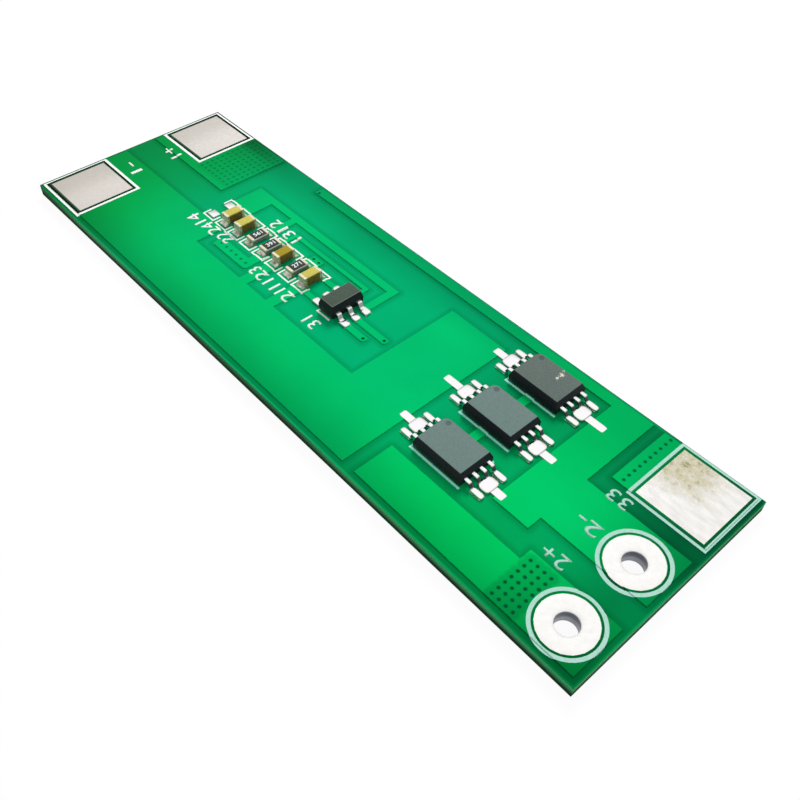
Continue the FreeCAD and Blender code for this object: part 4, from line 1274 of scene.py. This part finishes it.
class BOARD_OT_finish_chips(bpy.types.Operator):
    """Build the chips with soft edges, mark the resistors and solder the row"""
    bl_idname = "board.finish_chips"
    bl_label = "Finish the chips"

    def execute(self, context):
        fillets = []
        for number, place in enumerate(CAPACITOR_PLACES, 1):
            self.build_capacitor("capacitor_%d" % number, CHIP_X[place])
            fillets += [chip_fillet(CHIP_X[place], CHIP_Y, side, CAPACITOR_FILLET)
                        for side in (-1, 1)]
        for number, place in enumerate(RESISTOR_PLACES, 1):
            self.build_resistor("resistor_%d" % number, CHIP_X[place], RESISTOR_CODES[number - 1])
            fillets += [chip_fillet(CHIP_X[place], CHIP_Y, side, RESISTOR_FILLET)
                        for side in (-1, 1)]
        finish_piece(join(fillets), "chip_joints", "chip joints", "chip_solder")
        return {"FINISHED"}

    def build_capacitor(self, chip, x):
        radius = looks().chip_round
        finish_piece(chip_body(x, CAPACITOR_BLOCK, radius * 0.5), chip + "_block",
                     "capacitor ceramic", chip + "_body")
        finish_piece(chip_ends(x, CAPACITOR_END, radius), chip + "_ends", "end metal",
                     chip + "_end_caps")

    def build_resistor(self, chip, x, code):
        radius = looks().chip_round
        finish_piece(chip_body(x, RESISTOR_COAT, radius * 0.6), chip + "_coat",
                     "resistor coat", chip + "_overcoat")
        finish_piece(chip_ends(x, RESISTOR_END, radius * 0.8), chip + "_ends", "end metal",
                     chip + "_end_wraps")
        figure = flat_figure(code, CODE_WIDTH, CODE_HEIGHT, CODE_BOLD)
        place_figure(figure, x, CHIP_Y, SEAT_LEVEL + CODE_LEVEL, math.pi / 2)
        apply_modifier(figure, "SOLIDIFY", thickness=CODE_INK * MM, offset=1.0)
        recalculate_faces(figure)
        finish_piece(figure, chip + "_code", "printed ink")


# Lands

# Section of a plated land with its hole: radius, level
EYELET_SECTION = (
    (0.75, 0.02), (0.75, 1.03), (0.80, 1.075), (1.0, 1.09), (1.55, 1.085), (1.75, 1.075),
    (OUTPUT_RADIUS, 1.055), (OUTPUT_RADIUS, 1.0), (0.82, 1.0), (0.82, 0.06),
    (OUTPUT_RADIUS, 0.06), (OUTPUT_RADIUS, 0.012), (1.75, 0.0), (0.80, 0.0),
)
COAT_ROUND = 0.02
# Lumps on the middle land: points each way, where they gather, how far they reach, their share
# beyond that, how wide they fade at the rim, and for each pattern its name, size and height
LUMPS_POINTS = 90
LUMPS_PLACE = (53.1, 15.9)
LUMPS_REACH = 2.3
LUMPS_LEAST = 0.12
LUMPS_RIM = 0.3
LUMPS = (("old solder swell", 0.9, 0.16), ("old solder lumps", 0.35, 0.09))


def plated_land(x, y):
    """A round land with its hole: one section, drawn point by point and spun round."""
    middle = board_point(x, y)
    points = [middle + Vector((radius, 0.0, level)) * MM for radius, level in EYELET_SECTION]
    clear_selection()
    bpy.ops.mesh.primitive_plane_add(size=1.0 * MM)
    land = bpy.context.active_object
    start_edit(land)
    bpy.ops.mesh.merge(type="CENTER")
    bpy.ops.transform.translate(value=points[0])
    for start, end in zip(points, points[1:] + points[:1]):
        bpy.ops.mesh.extrude_region_move(TRANSFORM_OT_translate={"value": end - start})
    bpy.ops.mesh.select_all(action="SELECT")
    bpy.ops.mesh.remove_doubles(threshold=MERGE)
    bpy.ops.mesh.spin(steps=72, angle=2 * math.pi, center=middle, axis=(0.0, 0.0, 1.0))
    end_edit()
    recalculate_faces(land)
    smooth(40.0)
    return land


class BOARD_OT_tin_lands(bpy.types.Operator):
    """Turn the two plated lands and coat the square lands"""
    bl_idname = "board.tin_lands"
    bl_label = "Tin the lands"

    def execute(self, context):
        for node, place in zip(("output_plus_tinning", "output_minus_tinning"), OUTPUTS):
            finish_piece(plated_land(*place), node.replace("tinning", "eyelet"),
                         material_for(node), node)
        for node in ("battery_minus_tinning", "battery_plus_tinning", "spare_land_tinning"):
            coat = copy_of_node(node)
            round_edges(coat, COAT_ROUND * MM, 2, 30.0)
            finish_piece(coat, node.replace("tinning", "coat"), material_for(node), node)
        self.heap_old_solder()
        return {"FINISHED"}

    def heap_old_solder(self):
        """The middle land: a coat left lumpy by earlier soldering."""
        x, y = SQUARE_LANDS[2]
        clear_selection()
        bpy.ops.mesh.primitive_grid_add(x_subdivisions=LUMPS_POINTS, y_subdivisions=LUMPS_POINTS,
                                        size=2 * SQUARE_HALF * MM,
                                        location=board_point(x, y, LAND_LEVEL + SOLDER_START))
        coat = bpy.context.active_object
        apply_place()
        lumps = coat.vertex_groups.new(name="lumps")
        for vertex in coat.data.vertices:
            place = (vertex.co - CORNER) / MM
            border = SQUARE_HALF - max(abs(place.x - x), abs(place.y - y))
            away = math.hypot(place.x - LUMPS_PLACE[0], place.y - LUMPS_PLACE[1])
            weight = max(LUMPS_LEAST, 1.0 - (away / LUMPS_REACH) ** 2)
            weight *= min(1.0, border / LUMPS_RIM)
            lumps.add([vertex.index], weight, "REPLACE")
        for name, size, height in LUMPS:
            texture = bpy.data.textures.new(name, "CLOUDS")
            texture.noise_scale = size * MM
            texture.noise_depth = 1
            apply_modifier(coat, "DISPLACE", texture=texture, texture_coords="LOCAL",
                           direction="Z", strength=height * MM, mid_level=0.35,
                           vertex_group="lumps")
        close_down_to(coat, LAND_LEVEL - 0.005, 60.0)
        finish_piece(coat, "battery_middle_coat", "old solder", "battery_middle_tinning")


# Stage

CAMERA_PLACE = Vector((65.642, -19.764, 43.234 + LACQUER_ON_COPPER))
CAMERA_FORWARD = Vector((-0.48951, 0.45225, -0.74555))
CAMERA_UP = Vector((-0.56146, 0.49071, 0.66630))
CAMERA_FOCUS_SHARE = 890.5 / 800.0
SENSOR_WIDTH = 36.0
# Lamps: name, place, size and power
LAMPS = (("key", (-0.10, 0.16, 0.22), 0.12, 0.6), ("fill", (0.22, -0.10, 0.20), 0.15, 0.18))
FLOOR_LEVEL = -0.00002
WHITE = (1.0, 1.0, 1.0)


def place_camera():
    data = bpy.data.cameras.new("camera")
    data.sensor_fit = "HORIZONTAL"
    data.sensor_width = SENSOR_WIDTH
    data.lens = SENSOR_WIDTH * CAMERA_FOCUS_SHARE
    data.clip_start = 0.001
    data.clip_end = 10.0
    camera = bpy.data.objects.new("camera", data)
    bpy.context.scene.collection.objects.link(camera)
    backward = -CAMERA_FORWARD.normalized()
    right = CAMERA_UP.cross(backward).normalized()
    up = backward.cross(right)
    camera.rotation_euler = Matrix((right, up, backward)).transposed().to_euler()
    camera.location = CORNER + CAMERA_PLACE * MM
    bpy.context.scene.camera = camera


def soft_lamp(name, place, size, power):
    """A round lamp that looks at the part's middle."""
    data = bpy.data.lights.new(name, "AREA")
    data.shape = "DISK"
    data.size = size
    data.energy = power
    lamp = bpy.data.objects.new(name, data)
    bpy.context.scene.collection.objects.link(lamp)
    lamp.visible_glossy = False
    lamp.location = place
    lamp.rotation_euler = (-Vector(place)).to_track_quat("-Z", "Y").to_euler()


def lay_floor():
    """A pale floor that the camera sees as almost white."""
    clear_selection()
    bpy.ops.mesh.primitive_plane_add(size=3.0, location=(0.0, 0.0, FLOOR_LEVEL))
    floor = bpy.context.active_object
    floor.name = "floor"
    material = bpy.data.materials.new("pale floor")
    material.use_nodes = True
    material.node_tree.nodes.clear()
    nodes = Nodes(material.node_tree)
    paint = nodes.add("ShaderNodeBsdfDiffuse", {"Color": (0.93, 0.93, 0.93)})
    glow = nodes.add("ShaderNodeEmission", {"Color": WHITE, "Strength": 1.0})
    path = nodes.add("ShaderNodeLightPath").outputs
    seen = nodes.greatest([path[ray + " Ray"] for ray in ("Is Camera", "Is Glossy",
                                                           "Is Transmission")])
    mixed = nodes.add("ShaderNodeMixShader", {"Fac": nodes.times(seen, 0.94),
                                              1: paint.outputs[0], 2: glow.outputs[0]})
    nodes.add("ShaderNodeOutputMaterial", {"Surface": mixed.outputs[0]})
    floor.data.materials.append(material)


def make_world(scene):
    """White to the camera, brighter towards the top in mirrors, and dim as a light."""
    world = bpy.data.worlds.new("studio")
    scene.world = world
    world.use_nodes = True
    world.node_tree.nodes.clear()
    nodes = Nodes(world.node_tree)
    path = nodes.add("ShaderNodeLightPath").outputs
    height = nodes.split(nodes.add("ShaderNodeTexCoord").outputs["Generated"])["Z"]
    sky = nodes.ramp(height, 0.0, 0.8, 0.45, 1.1)
    dim, bright, white = (
        nodes.add("ShaderNodeBackground", {"Color": WHITE, "Strength": strength}).outputs[0]
        for strength in (0.5, sky, 1.0))
    mirrored = nodes.math("MAXIMUM", path["Is Glossy Ray"], path["Is Transmission Ray"])
    mixed = nodes.add("ShaderNodeMixShader", {"Fac": mirrored, 1: dim, 2: bright})
    mixed = nodes.add("ShaderNodeMixShader", {"Fac": path["Is Camera Ray"],
                                              1: mixed.outputs[0], 2: white})
    nodes.add("ShaderNodeOutputWorld", {"Surface": mixed.outputs[0]})


class BOARD_OT_set_stage(bpy.types.Operator):
    """Lay the pale floor and set the world, the lamps and the camera"""
    bl_idname = "board.set_stage"
    bl_label = "Set the stage"

    def execute(self, context):
        lay_floor()
        make_world(context.scene)
        for values in LAMPS:
            soft_lamp(*values)
        place_camera()
        context.scene.view_settings.view_transform = "Standard"
        return {"FINISHED"}


class BOARD_PT_panel(bpy.types.Panel):
    """Settings and steps of the board"""
    bl_idname = "BOARD_PT_panel"
    bl_label = "Battery protection board"
    bl_space_type = "VIEW_3D"
    bl_region_type = "UI"
    bl_category = "Board"

    def draw(self, context):
        for name in BoardLooks.__annotations__:
            self.layout.prop(context.scene.board_looks, name)
        for step in STEPS:
            self.layout.operator(step.bl_idname)


STEPS = (BOARD_OT_dress_nodes, BOARD_OT_print_outlines, BOARD_OT_print_numbers,
         BOARD_OT_mould_packages, BOARD_OT_form_leads, BOARD_OT_solder_packages,
         BOARD_OT_finish_chips, BOARD_OT_tin_lands, BOARD_OT_set_stage)
CLASSES = (BoardLooks, *STEPS, BOARD_PT_panel)


def register():
    for kind in CLASSES:
        bpy.utils.register_class(kind)
    bpy.types.Scene.board_looks = bpy.props.PointerProperty(type=BoardLooks)


def unregister():
    del bpy.types.Scene.board_looks
    for kind in reversed(CLASSES):
        bpy.utils.unregister_class(kind)


def main():
    register()
    bpy.ops.board.dress_nodes()
    bpy.ops.board.print_outlines()
    bpy.ops.board.print_numbers()
    bpy.ops.board.mould_packages()
    bpy.ops.board.form_leads()
    bpy.ops.board.solder_packages()
    bpy.ops.board.finish_chips()
    bpy.ops.board.tin_lands()
    bpy.ops.board.set_stage()


if __name__ == "__main__":
    main()
